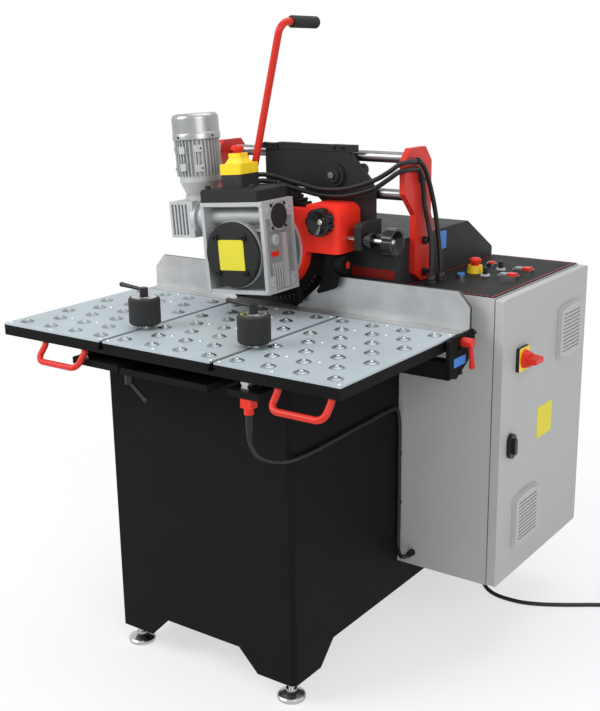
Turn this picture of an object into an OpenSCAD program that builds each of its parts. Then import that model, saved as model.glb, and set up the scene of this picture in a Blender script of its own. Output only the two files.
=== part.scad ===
// Plate-edge bevelling machine: a sheet-metal base with a ball table on rails, a fence,
// a traversing cutter head and an electrical cabinet. All lengths are in millimetres.
// Pieces are drawn from the table's front left top corner: X to the right, Y to the back, Z up.

/* [Table] */
// Width of one of the three table panels
panel_w = 325; // [318:1:332]
// Depth of the table, front to back
table_d = 483; // [478:1:490]
// Thickness of a table panel
panel_t = 4; // [3:0.5:5]
// Height of the black frame under the panels
rim_h = 25; // [23:1:28]
// Width of the frame's rim bars
rim_w = 20; // [14:1:24]
// Width of the T-slots between the panels
slot_w = 12; // [11.5:0.5:14]
// Width of the T-slot head
slot_head_w = 20; // [20:0.5:24]
// Diameter of a transfer ball
ball_d = 16; // [14:0.5:17]
// How far a ball stands above its panel
ball_proud = 7; // [5:0.5:7.5]
// Diameter of a ball cup's flange
cup_flange_d = 33; // [30:0.5:36]
// Ball pitch along the table's width
ball_pitch_x = 83; // [76:1:84]
// Least distance from the table's front and rear edges to a ball row
ball_edge = 36; // [36:0.5:60]
// Ball pitch along the table's depth
ball_pitch_y = 67.5; // [60:0.5:69]
// Tube diameter of the pull handles
handle_d = 15; // [12:0.5:18]
// Leg spacing of a pull handle
handle_w = 131; // [110:1:150]

/* [Guide rollers] */
// Diameter of a guide roller
roller_d = 75; // [60:1:80]
// Height of a guide roller
roller_h = 64; // [50:1:70]
// Place of the rollers along their slots
roller_y = 149; // [120:1:190]

/* [Base] */
// Width of the base
base_w = 545; // [535:1:560]
// Depth of the base
base_d = 956; // [940:1:990]
// Height of the base body
base_h = 712; // [680:1:740]
// Setback of the base from the table's front edge
base_front = 102; // [90:1:120]
// Drop from the table top to the base top
base_drop = 70; // [70:0.5:76]
// Offset of the base from the table's middle, to the right
base_shift = 18; // [10:1:24]
// Sheet thickness of base and hood
wall = 3; // [2:0.5:4]
// Corner chamfer of the base
corner_c = 11.5; // [8:0.5:14]
// Width of a base leg at the floor
leg_w = 107; // [90:1:120]
// Height of the notches between the legs
notch_h = 54; // [40:1:70]
// Height of a levelling foot
foot_h = 54; // [48:1:64]
// Diameter of a foot pad
foot_d = 68; // [56:1:76]
// Distance from the fence's face to the rear hood
hood_gap = 38; // [36:1:46]
// Depth of the rear hood
hood_d = 496; // [490:1:500]
// Height of the hood's top above the table top
hood_top = 188; // [170:1:200]

/* [Rails] */
// Distance between the two table rails
rail_span = 470; // [462:1:476]
// Width of a profile rail
rail_w = 20; // [18:0.5:22]
// Height of a profile rail
rail_h = 17.5; // [16:0.5:19]
// Thickness of the beams under the rails
beam_t = 15.5; // [14:0.5:18]
// Height of a rail block above its beam
block_h = 30; // [28:0.5:32]

/* [Fence] */
// Height of the fence above the table top
fence_h = 89; // [80:1:100]
// Thickness of the fence plate
fence_t = 10; // [8:0.5:12]
// Width of the fence's ledge
ledge_w = 37; // [35:1:39]
// Thickness of the fence's ledge
ledge_t = 9; // [7:0.5:11]
// Slant of the fence's adjusting slots
slot_slant = 38; // [30:1:45]
// Travel of the fence along its slots
fence_travel = 20; // [14:0.5:21]

/* [Head] */
// Place of the cutter axis along the table's width
head_x = 438; // [425:1:450]
// Height of the cutter axis above the table top
head_z = 153; // [150:1:158]
// Travel of the head to the left along its rods
head_travel = 70; // [40:1:72]
// Sideways lean of gearbox and motor
head_lean = 4.5; // [0:0.5:6]
// Radius of the cutter over its teeth
cutter_r = 140; // [134:0.5:142]
// Width of the cutter
cutter_w = 34; // [28:0.5:35]
// Number of cutter teeth
cutter_teeth = 60; // [40:1:72]
// Depth of a cutter tooth
tooth_h = 7; // [5:0.5:9]
// Diameter of the cutter shaft
shaft_d = 40; // [35:1:46]
// Diameter of the traverse rods
rod_d = 27; // [25:0.5:30]
// Height of the upper rod above the table top
rod_high = 375; // [370:1:380]
// Height of the lower rod above the table top
rod_low = 286; // [282:1:290]
// Thickness of the carriage plate
carriage_t = 10; // [8:0.5:12]
// Diameter of the lever tube
lever_d = 18; // [16:0.5:20]
// Diameter of the lever grip
grip_d = 29; // [26:0.5:32]

/* [Gearbox and motor] */
// Width of the main gearbox
gear_w = 190; // [184:1:194]
// Depth of the main gearbox
gear_d = 124; // [118:1:130]
// Height of the main gearbox below the output axis
gear_below = 97; // [94:1:100]
// Height of the main gearbox above the output axis
gear_above = 125; // [120:1:130]
// Distance from the output axis to the worm axis
worm_offset = 86; // [82:0.5:88]
// Diameter of the front cover disc
cover_d = 160; // [150:1:164]
// Thickness of the top plate
top_plate_t = 32; // [26:1:36]
// Diameter of the motor cowl
cowl_d = 118; // [116:1:122]
// Diameter of the motor body over its fins
motor_d = 114; // [108:1:118]
// Number of motor fins
motor_fins = 36; // [24:1:44]

/* [Cabinet] */
// Width of the cabinet body, across the machine
cab_w = 250; // [240:1:260]
// Height of the cabinet body
cab_h = 720; // [700:1:740]
// Height of the cabinet top above the table top
cab_top = 74; // [72:0.5:75]
// Sheet thickness of cabinet and door
cab_wall = 2; // [1.5:0.5:3]
// Thickness of the door
door_t = 22; // [20:0.5:26]
// Gap between cabinet body and door
door_gap = 3; // [2.5:0.5:4]
// Side of a louvred vent
vent_w = 146; // [130:1:156]
// Side of the isolator plate
isolator_w = 58; // [50:1:60]

/* [Cables] */
// Diameter of the mains lead
lead_d = 11; // [10:0.5:12]
// Turns of the put-away coil in each of its two layers
coil_turns = 3; // [2:1:4]
// Diameter of the head cables
head_cable_d = 12; // [10:0.5:13]
// Diameter of the switch cable
switch_cable_d = 10.5; // [8:0.5:11]

/* [Hidden] */
$fn = 48;

// Colours
BLACK = "#1b1b1c";
RED = "#d8301f";
ZINC = "#c3ccd1";
STEEL = "#b9bcbe";
CAST = "#aeb1b3";
ALUMINIUM = "#bfc1c1";
CABINET = "#c9cccb";
YELLOW = "#f1c40f";
RUBBER = "#2a2a2b";

// Clearances: between bodies, running fit on a radius, and an overshoot for cuts
gap = 0.3;
run = 0.05;
cut = 1;

// Table
table_w = 3 * panel_w;
table_cx = table_w / 2;
frame_z1 = -panel_t;
rim_z0 = frame_z1 - rim_h;
seam_x = [panel_w, 2 * panel_w];
seam_bar_w = 50;
deck_t = 8;
slot_neck_h = 8;
slot_head_h = 9;
ball_rows = floor((table_d - 2 * ball_edge) / ball_pitch_y) + 1;
cup_body_d = ball_d + 4.5;
cup_depth = 11.5;
cup_rise = 4;
handle_x = [197, 882];
handle_y = 10;
handle_reach = 30;
handle_fall = 42;
handle_bend = 40;

// Base and hood
base_cx = table_cx + base_shift;
base_x = [base_cx - base_w / 2, base_cx + base_w / 2];
base_y = [base_front, base_front + base_d];
base_cy = (base_y[0] + base_y[1]) / 2;
base_z1 = -base_drop;
base_z0 = base_z1 - base_h;
floor_z = base_z0 - foot_h;
pan_z = base_z0 + notch_h;
foot_inset = 35;
foot_plate_t = 6;
spindle_d = 16;
hood_slope_run = 148;
hood_slope_fall = 89;

// Rails, beams and tray
beam_z1 = base_z1 + beam_t;
deck_z = beam_z1 + block_h;
rail_x = [table_cx - rail_span / 2, table_cx + rail_span / 2];
beam_y = [9, table_d - 13];
rail_y = [19, table_d - 13];
beam_x = [[rail_x[0] - 32, rail_x[0] + 113], [rail_x[1] - 41, base_x[1] - 10.5]];
tray_x = [base_cx - 128, base_cx + 129];
tray_y = [2, table_d - 13];
tray_wall = 2;
block_l = 70;
block_w = 44;
block_y = [140, table_d - 123];
clamp_stud = [tray_x[0] + 12, 20];
stud_d = 10;

// Guide rollers
post_sleeve_d = 20;
roller_lift = 10;

// Fence
fence_x = [21, table_w + 10];
ledge_y = table_d + 2;
fence_y = ledge_y + ledge_w;
hood_y = [fence_y + hood_gap, fence_y + hood_gap + hood_d];
fence_chamfer = [30, 34];
bracket_t = 8;
arm_z = [-95, -55];
right_arm_y = [ledge_y - 60, ledge_y - 20];
left_arm_y = [ledge_y + 4, ledge_y + 40];
right_stud = [ledge_y - 12, -13];
left_stud = [ledge_y + 26, -48];
slide_dir = [0, cos(slot_slant), sin(slot_slant)];

// Head, front to back from the fence
cutter_y = [fence_y, fence_y + cutter_w];
guard_y = [cutter_y[0] - 6.5, cutter_y[0] - 2];
cast_y = [guard_y[0] - 29.5, guard_y[0]];
ring_y = [cast_y[0] - 10, cast_y[0]];
gear_y = [ring_y[0] - gear_d, ring_y[0]];
gear_my = (gear_y[0] + gear_y[1]) / 2;
ring_r = 106;
annulus_r = 113;
guard_r = cutter_r - 8;
// Room in the fence for the cutter, wider at the top, for both ends of its travel and the raised fence
notch_low = [head_x - head_travel - 62, head_x + 62];
notch_top = [head_x - head_travel - 162, head_x + 162];
cutter_room = cutter_r + 4;
rod_y = hood_y[0] + 57;
carriage_y = [rod_y - rod_d / 2 - 7.5 - carriage_t, rod_y - rod_d / 2 - 7.5];
carriage_x = [361, 703];
cast_x = [556, 648];
cast_z = [150, 266];
clamp_x = [carriage_x[1] - 20, carriage_x[1]];
// Height from which the head may reach back over the hood
over_hood = hood_top + 4;
screw_at = [fence_y + 2, 186.5];
side_knob_x = clamp_x[1] + 51;
screw_d = 12;
front_knob_at = [610, 229];
knob_d = 68;
motor_at = [-172, gear_my + 39];
motor_z = worm_offset + 51;
motor_top = motor_z + 152;
small_x = [motor_at[0] - 40, motor_at[0] + 36];
top_v = gear_above + top_plate_t;
box_at = [-9, gear_my - 4];
box_size = [62, 72];
box_base_h = 32;
box_cover_h = 25;
box_neck_h = 24;
neck_size = [54, 50];
neck_taper = 0.68;
stem_d = 20;
lever_foot = [-17, gear_my + 50];
lever_top = [505.6, 692.5];
grip_from = 38;
grip_l = 95;
grip_drop = 1;
grip_yaw = 86;

// Side plates
side_t = 15;
side_leg = [hood_y[0] + 43, hood_y[0] + 129];

// Cabinet
cab_x = [base_x[1], base_x[1] + cab_w];
cab_y = [hood_y[0], hood_y[1] + 2];
cab_z = [cab_top - cab_h, cab_top];
door_x = [cab_x[1] + door_gap, cab_x[1] + door_gap + door_t];
door_y = [cab_y[0] - 2, cab_y[1] + 2];
door_z = [cab_z[0] + 1, cab_z[1] - 2];
hinge_at = [door_x[1] - 9, door_y[1] - 7];
hinge_z = [door_z[0] + 90, door_z[1] - 90];
hinge_pin_d = 8;
flange_w = 18;
panel_plate_t = 2;
panel_z = cab_top + panel_plate_t;
isolator_at = [cab_y[0] + 101, cab_top - 161];
isolator_reach = 48;
lock_at = [cab_y[0] + 55, cab_top - 368];
vent_at = [[cab_y[1] - 112, cab_top - 150], [cab_y[0] + 157, cab_top - 583]];

// Controls, placed from the panel's front left corner
estop_at = [cab_x[0] + 78, cab_y[0] + 241];
blue_at = [cab_x[0] + 80, cab_y[0] + 160];
red_at = [cab_x[0] + 78, cab_y[0] + 336];
dial_at = [[cab_x[0] + 117, cab_y[0] + 219], [cab_x[0] + 117, cab_y[0] + 309]];
double_at = [[cab_x[0] + 183, cab_y[0] + 213], [cab_x[0] + 183, cab_y[0] + 300]];
bezel_d = 25;
collar_h = 19;
button_d = 19;
bezel_h = 9;
button_rise = 3;
button_travel = 3;
double_size = [48, 28];
half_size = [20, 22];
half_off = 11;

// Cable routes, points chosen by hand
switch_at = [730, 22];
function shifted(p, by) = [for (q = p) q + by];
switch_route = concat(shifted([
  [0, 0, -134], [0, 0, -152], [3, 1, -176], [16, 8, -200]], [switch_at[0], switch_at[1], 0]), shifted([
  [-10, 52, -214], [6, 90, -221], [7.2, 130, -224], [7.2, 160, -226], [7.2, 260, -225],
  [7.2, 380, -223]], [base_x[1], 0, 0]), shifted([
  [7.2, -80, -222], [7.2, -38, -224], [7.2, -18, -236], [7, -10, -262], [7, -8, -300], [7, -8, -400],
  [7, -8, -530], [8, -11, -570], [14, -20, -596], [24, -32, -608], [34, -37, -612], [42, -33, -612],
  [44, -22, -612]], [base_x[1], cab_y[0], 0]));
panel_route_a = shifted([
  [24, 32.4, 372], [25, 43, 370], [28, 64, 350], [32, 85, 304], [35, 103, 250], [40, 112, 190],
  [46, 112, 140], [50, 108, 114], [51, 106, 98]], [base_x[1], hood_y[0], 0]);
panel_route_b = shifted([
  [24, 32.4, 354], [25, 42, 350], [25, 54, 332], [25, 64, 300], [26, 69, 262], [31, 78, 220], [40, 78, 172],
  [48, 66, 130], [51, 60, 98]], [base_x[1], hood_y[0], 0]);
head_route_a = concat(shifted([
  [-3, -66.5, 334], [3, -54, 334], [13, -28, 328], [32, 10, 314.5], [72, 30, 302], [112, 36, 295],
  [184, 34, 300], [268, 25, 324]], [head_x, fence_y, 0]), shifted([
  [-22, 15, 348], [6, 13, 366], [21, 22, 373], [24, 38, 373.4], [24, 48, 372.4], [24, 57.4, 372]], [base_x[1], fence_y, 0]));
head_route_b = concat(shifted([
  [-2, -66.5, 319], [5, -54, 319], [16, -28, 313], [36, 8, 300], [72, 31, 287], [114, 38, 280],
  [184, 37, 283], [268, 26, 305]], [head_x, fence_y, 0]), shifted([
  [-22, 14, 331], [6, 11, 349], [21, 20, 355], [24, 36, 355.4], [24, 48, 354.4], [24, 57.4, 354]], [base_x[1], fence_y, 0]));
clamp_y = [hood_y[0] + 20, hood_y[0] + 32];
lead_route = shifted([
  [64, -153, -696.4], [64, -153.2, -724], [65, -156, -756], [70, -162, -788], [84, -174, -812],
  [108, -190, -826], [136, -202, -830.5], [172, -209, -830.5], [222, -205, -830.5], [272, -185, -830.5],
  [327, -152, -830.5], [377, -118, -830.5], [412, -96, -830.5], [434, -87.5, -830.5], [450.6, -87, -830.5]], [cab_x[0], cab_y[1], 0]);
gland_at = [cab_x[0] + 64, cab_y[1] - 153];
coil_gap = 0.8;
coil_pitch = lead_d + coil_gap;
coil_in = 36;
coil_mid_a = 360 * coil_turns + 90;
coil_out = coil_in + coil_pitch * coil_mid_a / 360;
coil_at = [cab_x[0] + 462, cab_y[1] - 87 + coil_out];

// Where the part's own origin lies in the drawing frame: bottom centre of the machine without its lead
reach_x = [0, door_x[1] + isolator_reach];
reach_y = [handle_y - handle_reach - handle_d / 2, door_y[1]];
origin = [(reach_x[0] + reach_x[1]) / 2, (reach_y[0] + reach_y[1]) / 2, floor_z];

// Small helpers: boxes by their ranges, outlines carried along an axis, rods along an axis
module place() translate(-origin) children();
module box(x, y, z) translate([x[0], y[0], z[0]]) cube([x[1] - x[0], y[1] - y[0], z[1] - z[0]]);
module along_x(x) translate([x[0], 0, 0]) rotate([90, 0, 90]) linear_extrude(x[1] - x[0]) children();
module along_y(y) translate([0, y[1], 0]) rotate([90, 0, 0]) linear_extrude(y[1] - y[0]) children();
module along_z(z) translate([0, 0, z[0]]) linear_extrude(z[1] - z[0]) children();
module rod_x(x, at, d) translate([x[0], at[0], at[1]]) rotate([0, 90, 0]) cylinder(d = d, h = x[1] - x[0]);
module rod_y(y, at, d) translate([at[0], y[0], at[1]]) rotate([-90, 0, 0]) cylinder(d = d, h = y[1] - y[0]);
module rod_z(z, at, d) translate([at[0], at[1], z[0]]) cylinder(d = d, h = z[1] - z[0]);
module rounded(x, y, r) union() {
  translate([x[0] + r, y[0]]) square([x[1] - x[0] - 2 * r, y[1] - y[0]]);
  translate([x[0], y[0] + r]) square([x[1] - x[0], y[1] - y[0] - 2 * r]);
  for (px = [x[0] + r, x[1] - r], py = [y[0] + r, y[1] - r]) translate([px, py]) circle(r);
}
function around(c, w) = [c - w / 2, c + w / 2];

// Bent round bar: straight runs joined by true elbows of one bend radius
function unit(v) = v / norm(v);
function trim(p, i, bend) = i == 0 || i == len(p) - 1 ? 0
  : bend * tan(acos(unit(p[i] - p[i - 1]) * unit(p[i + 1] - p[i])) / 2);
module straight(a, b, d) {
  v = b - a;
  translate(a) rotate([0, acos(v[2] / norm(v)), atan2(v[1], v[0])]) cylinder(d = d, h = norm(v));
}
module elbow(p, i, d, bend) {
  a = unit(p[i] - p[i - 1]);
  b = unit(p[i + 1] - p[i]);
  turn = acos(a * b);
  n = unit(cross(a, b));
  start = p[i] - a * trim(p, i, bend);
  inward = cross(n, a);
  c = start + inward * bend;
  e = -inward;
  multmatrix([[e[0], a[0], n[0], c[0]], [e[1], a[1], n[1], c[1]], [e[2], a[2], n[2], c[2]], [0, 0, 0, 1]])
    rotate_extrude(angle = turn) translate([bend, 0]) circle(d = d);
}
module bent_bar(p, d, bend) {
  lap = 0.4;
  for (i = [0:len(p) - 2]) {
    v = unit(p[i + 1] - p[i]);
    straight(p[i] + v * max(trim(p, i, bend) - lap, 0), p[i + 1] - v * max(trim(p, i + 1, bend) - lap, 0), d);
  }
  for (i = [1:1:len(p) - 2]) elbow(p, i, d - 0.2, bend);
}

// Cable: a smooth curve through the route's points, swept with frames that turn as little as they can
function spline(p, t) = let (i = min(floor(t), len(p) - 2), u = t - i, a = p[max(i - 1, 0)], b = p[i],
  c = p[i + 1], d = p[min(i + 2, len(p) - 1)])
  0.5 * (2 * b + (c - a) * u + (2 * a - 5 * b + 4 * c - d) * u * u + (3 * b - a - 3 * c + d) * u * u * u);
function smooth(p, per) = [for (k = [0:(len(p) - 1) * per]) spline(p, k / per)];
function tangent(q, i) = unit(q[min(i + 1, len(q) - 1)] - q[max(i - 1, 0)]);
function level(v, t) = unit(v - t * (v * t));
function side(t) = abs(t[2]) < 0.9 ? unit(cross(t, [0, 0, 1])) : unit(cross(t, [0, 1, 0]));
function frames(q, i, n, out) = i == len(q) ? out
  : let (t = tangent(q, i), m = i == 0 ? side(t) : level(n, t)) frames(q, i + 1, m, concat(out, [[m, cross(t, m)]]));
module swept(q, d, sides) {
  f = frames(q, 0, [0, 0, 1], []);
  rings = [for (i = [0:len(q) - 1], k = [0:sides - 1])
    q[i] + d / 2 * (cos(360 * k / sides) * f[i][0] + sin(360 * k / sides) * f[i][1])];
  last = (len(q) - 1) * sides;
  walls = [for (i = [0:len(q) - 2], k = [0:sides - 1]) let (a = i * sides + k, b = i * sides + (k + 1) % sides)
    each [[a, a + sides, b], [b, a + sides, b + sides]]];
  caps = [for (k = [1:sides - 2]) each [[0, k, k + 1], [last, last + k + 1, last + k]]];
  polyhedron(rings, concat(walls, caps));
}
module cable(route, d, per) swept(smooth(route, per), d, 8);

// Base cabinet: chamfered sheet-metal box on four notched legs, with a closed floor pan
module base_plan(grow) let (x = base_x + [-grow, grow], y = base_y + [-grow, grow], c = corner_c + 0.4 * grow)
  polygon([[x[0] + c, y[0]], [x[1] - c, y[0]], [x[1], y[0] + c], [x[1], y[1] - c],
    [x[1] - c, y[1]], [x[0] + c, y[1]], [x[0], y[1] - c], [x[0], y[0] + c]]);
module notch(a, b) polygon([[a + leg_w, base_z0 - cut], [b - leg_w, base_z0 - cut], [b - leg_w, base_z0],
  [b - leg_w - notch_h, pan_z], [a + leg_w + notch_h, pan_z], [a + leg_w, base_z0]]);
module at_feet() for (x = [base_x[0] + foot_inset, base_x[1] - foot_inset],
  y = [base_y[0] + foot_inset, base_y[1] - foot_inset]) translate([x, y, 0]) children();
module base_cabinet() color(BLACK) {
  difference() {
    along_z([base_z0, base_z1]) base_plan(0);
    along_z([pan_z + wall, base_z1 - wall]) base_plan(-wall);
    along_z([base_z0 - cut, pan_z]) base_plan(-wall);
    along_y(base_y + [-cut, cut]) notch(base_x[0], base_x[1]);
    along_x(base_x + [-cut, cut]) notch(base_y[0], base_y[1]);
  }
  difference() {
    intersection() {
      along_z([base_z0, base_z0 + foot_plate_t]) base_plan(-wall / 2);
      at_feet() translate([0, 0, base_z0]) cube([2 * foot_inset, 2 * foot_inset, 4 * foot_plate_t], center = true);
    }
    at_feet() translate([0, 0, base_z0 - cut]) cylinder(d = spindle_d + 2 * run, h = 3 * foot_plate_t);
  }
}
module levelling_feet() color(STEEL) at_feet() {
  translate([0, 0, floor_z]) rotate_extrude()
    polygon([[0, 0], [foot_d / 2 - 2, 0], [foot_d / 2, 2], [foot_d / 2, 9], [foot_d / 2 - 3, 12],
      [17, 19], [13, 21], [13, 26], [spindle_d / 2, 26], [spindle_d / 2, foot_h - 11], [13, foot_h - 11],
      [13, foot_h], [spindle_d / 2, foot_h], [spindle_d / 2, foot_h + 30], [0, foot_h + 30]]);
}

// Beams under the rails and the open chip tray between them, with the stud of the clamp lever
module rail_beams() color(BLACK) {
  for (x = beam_x) box(x, beam_y, [base_z1, beam_z1]);
  difference() {
    box(tray_x, tray_y, [base_z1, beam_z1]);
    box(tray_x + [tray_wall, -tray_wall], tray_y + [tray_wall, -tray_wall], [base_z1 + tray_wall, beam_z1 + cut]);
  }
  rod_z([base_z1 - 20, base_z1], clamp_stud, stud_d);
}
module rail_profile() let (w = rail_w / 2, waist = 0.36 * rail_w, h = rail_h)
  polygon([[-w, 0], [w, 0], [w, 0.22 * h], [waist, 0.4 * h], [waist, 0.6 * h], [w, 0.76 * h], [w, 0.94 * h],
    [w - 1, h], [1 - w, h], [-w, 0.94 * h], [-w, 0.76 * h], [-waist, 0.6 * h], [-waist, 0.4 * h], [-w, 0.22 * h]]);
module guide_rails_and_rods() color(STEEL) {
  for (x = rail_x) translate([x, 0, beam_z1]) along_y(rail_y) rail_profile();
  for (z = [rod_high, rod_low])
    rod_x([base_x[0] - side_t + 1, base_x[1] + side_t - 1], [rod_y, z], rod_d);
}

// Hood behind the fence: folded sheet with a sloped back, closed by the base top
module hood_outline(t) polygon([[hood_y[0] + t, base_z1 - (t > 0 ? cut : 0)], [hood_y[1] - t, base_z1 - (t > 0 ? cut : 0)],
  [hood_y[1] - t, hood_top - hood_slope_fall - 0.5 * t], [hood_y[1] - hood_slope_run - 0.5 * t, hood_top - t],
  [hood_y[0] + t, hood_top - t]]);
module rear_hood() color(BLACK) difference() {
  along_x(base_x) hood_outline(0);
  along_x(base_x + [wall, -wall]) hood_outline(wall);
}

// Red side plates that hold the two rods, bolted to the hood's sides
module side_outline() let (a = side_leg[0], b = side_leg[1]) polygon([[a + 33, cab_top + 4], [a, cab_top + 26],
  [a, 242], [a - 51, 297], [a - 51, rod_high + 1], [a - 25, rod_high + 27], [a + 46, rod_high + 27],
  [b - 10, rod_high - 8], [b - 10, 240], [b, 220], [b, cab_top + 14], [b - 10, cab_top + 4]]);
module side_plates() color(RED) for (x = [[base_x[1], base_x[1] + side_t], [base_x[0] - side_t, base_x[0]]])
  difference() {
    along_x(x) side_outline();
    for (z = [rod_high, rod_low]) rod_x([base_x[0] - side_t + 1, base_x[1] + side_t - 1], [rod_y, z], rod_d);
  }

// Arms from the base to the fence ends, with the plates and studs that the brackets clamp to
module fence_arms() color(BLACK) {
  bracket = fence_x[1];
  plate = [bracket - 8, bracket - gap];
  box([base_x[1], plate[0]], right_arm_y, arm_z);
  along_x(plate) polygon([[right_arm_y[0], arm_z[0]], [right_arm_y[1], arm_z[0]], [ledge_y - 0.6, -40],
    [ledge_y - 0.6, 2], [right_stud[0] - 12, 2], [right_arm_y[0], -30]]);
  rod_x([plate[1] - 1, bracket + bracket_t + 18], right_stud, stud_d);
  left = [fence_x[0] + bracket_t + gap, fence_x[0] + bracket_t + 8];
  box([left[1], base_x[0]], left_arm_y, arm_z);
  along_x(left) polygon([[left_arm_y[0], arm_z[0]], [left_arm_y[1], arm_z[0]], [left_arm_y[1], -ledge_t - 8],
    [left_arm_y[0], -ledge_t - 8]]);
  rod_x([fence_x[0] - 4, left[0] + 1], left_stud, stud_d);
  rod_x([fence_x[0] - 12, fence_x[0] - gap], left_stud, 22);
}

// Table: welded frame with a deck, rim and two T-slot bars, and three plated panels
module at_slots() for (x = seam_x) translate([x, 0, 0]) children();
module table_frame() color(BLACK) difference() {
  union() {
    difference() {
      box([0, table_w], [0, table_d], [rim_z0, frame_z1]);
      box([rim_w, table_w - rim_w], [rim_w, table_d - rim_w], [rim_z0 - cut, frame_z1 + cut]);
    }
    box([rim_w / 2, table_w - rim_w / 2], [rim_w / 2, table_d - rim_w / 2], [deck_z, deck_z + deck_t]);
    at_slots() box(around(0, seam_bar_w), [rim_w / 2, table_d - rim_w / 2], [deck_z + deck_t / 2, frame_z1]);
  }
  at_slots() {
    box(around(0, slot_w), [-cut, table_d - rim_w], [frame_z1 - slot_neck_h, frame_z1 + cut]);
    box(around(0, slot_head_w), [-cut, table_d - rim_w],
      [frame_z1 - slot_neck_h - slot_head_h, frame_z1 - slot_neck_h + 0.01]);
  }
}
function panel_x(i) = [i * panel_w + (i > 0 ? slot_w / 2 : 0), (i + 1) * panel_w - (i < 2 ? slot_w / 2 : 0)];
module at_balls() for (i = [0:2], row = [0:ball_rows - 1]) {
  count = row % 2 == 0 ? 4 : 3;
  for (k = [0:count - 1]) translate([(i + 0.5) * panel_w + (k - (count - 1) / 2) * ball_pitch_x,
    table_d / 2 + (row - (ball_rows - 1) / 2) * ball_pitch_y, 0]) children();
}
module table_panels() color(ZINC) difference() {
  for (i = [0:2]) box(panel_x(i), [0, table_d], [frame_z1, 0]);
  at_balls() translate([0, 0, frame_z1 - cut]) cylinder(d = cup_body_d + 2 * run, h = panel_t + 2 * cut);
}
module ball_units() color(STEEL) at_balls() {
  ball_z = ball_proud - ball_d / 2;
  difference() {
    rotate_extrude() polygon([[0, -cup_depth], [cup_body_d / 2, -cup_depth], [cup_body_d / 2, 0],
      [cup_flange_d / 2, 0], [cup_flange_d / 2, 0.8], [cup_body_d / 2, cup_rise], [0, cup_rise]]);
    translate([0, 0, ball_z]) sphere(d = ball_d + 0.4);
  }
  translate([0, 0, ball_z]) sphere(d = ball_d);
}
module pull_handles() color(RED) for (x = handle_x) {
  a = [x - handle_w / 2, handle_y, rim_z0];
  b = [x - handle_w / 2, handle_y - handle_reach, rim_z0 - handle_fall];
  m = [2 * (x - a[0]), 0, 0];
  bent_bar([a, a - [0, 0, 8], b, b + m, a + m - [0, 0, 8], a + m], handle_d, handle_bend / 2);
}
module rail_blocks() color(STEEL) for (x = rail_x, y = block_y) difference() {
  box(around(x, block_w), [y, y + block_l], [beam_z1 + 5, deck_z]);
  box(around(x, rail_w + 1), [y - cut, y + block_l + cut], [beam_z1, beam_z1 + rail_h + 0.5]);
}

// Guide roller: T-slot post with washer and sleeve, free roller, clamp lever on top
module roller_post(x) color(STEEL) translate([x, roller_y, 0]) {
  head_z = frame_z1 - slot_neck_h - 1;
  box(around(0, slot_head_w - 1), around(0, 28), [head_z - 7, head_z]);
  rod_z([head_z - 1, gap], [0, 0], slot_w - 1);
  rod_z([gap, 4], [0, 0], 34);
  rod_z([4, roller_lift - gap], [0, 0], 26);
  rod_z([roller_lift - gap, roller_lift + roller_h + gap], [0, 0], post_sleeve_d);
  rod_z([roller_lift + roller_h, roller_lift + roller_h + 18], [0, 0], stud_d);
}
module guide_roller(x) color(RUBBER) translate([x, roller_y, roller_lift]) rotate_extrude()
  polygon([[post_sleeve_d / 2 + run, 0], [roller_d / 2 - 4, 0], [roller_d / 2, 4], [roller_d / 2, roller_h - 4],
    [roller_d / 2 - 4, roller_h], [post_sleeve_d / 2 + run, roller_h]]);
// Clamp lever: a hub over its stud and a tapered arm with a round end
module clamp_lever(hub_d, hub_h, reach, rise, tip_d) difference() {
  union() {
    cylinder(d = hub_d, h = hub_h);
    base_pt = [0, 0, hub_h - tip_d / 2];
    tip_pt = [reach, 0, hub_h - tip_d / 2 + rise];
    v = tip_pt - base_pt;
    translate(base_pt) rotate([0, acos(v[2] / norm(v)), 0]) cylinder(d1 = 0.72 * tip_d, d2 = tip_d, h = norm(v));
    translate(tip_pt) sphere(d = tip_d + 1);
  }
  translate([0, 0, -cut]) cylinder(d = stud_d + 2 * run, h = hub_h - 4 + cut);
}
module roller_lever(x) color(BLACK) translate([x, roller_y, roller_lift + roller_h + 2 * gap])
  rotate(180) clamp_lever(20, 22, 70, 5, 11);
module table_clamp_lever() color(BLACK) translate([clamp_stud[0], clamp_stud[1], base_z1 - gap])
  mirror([0, 0, 1]) clamp_lever(20, 25, 48, 36, 12);

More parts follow.
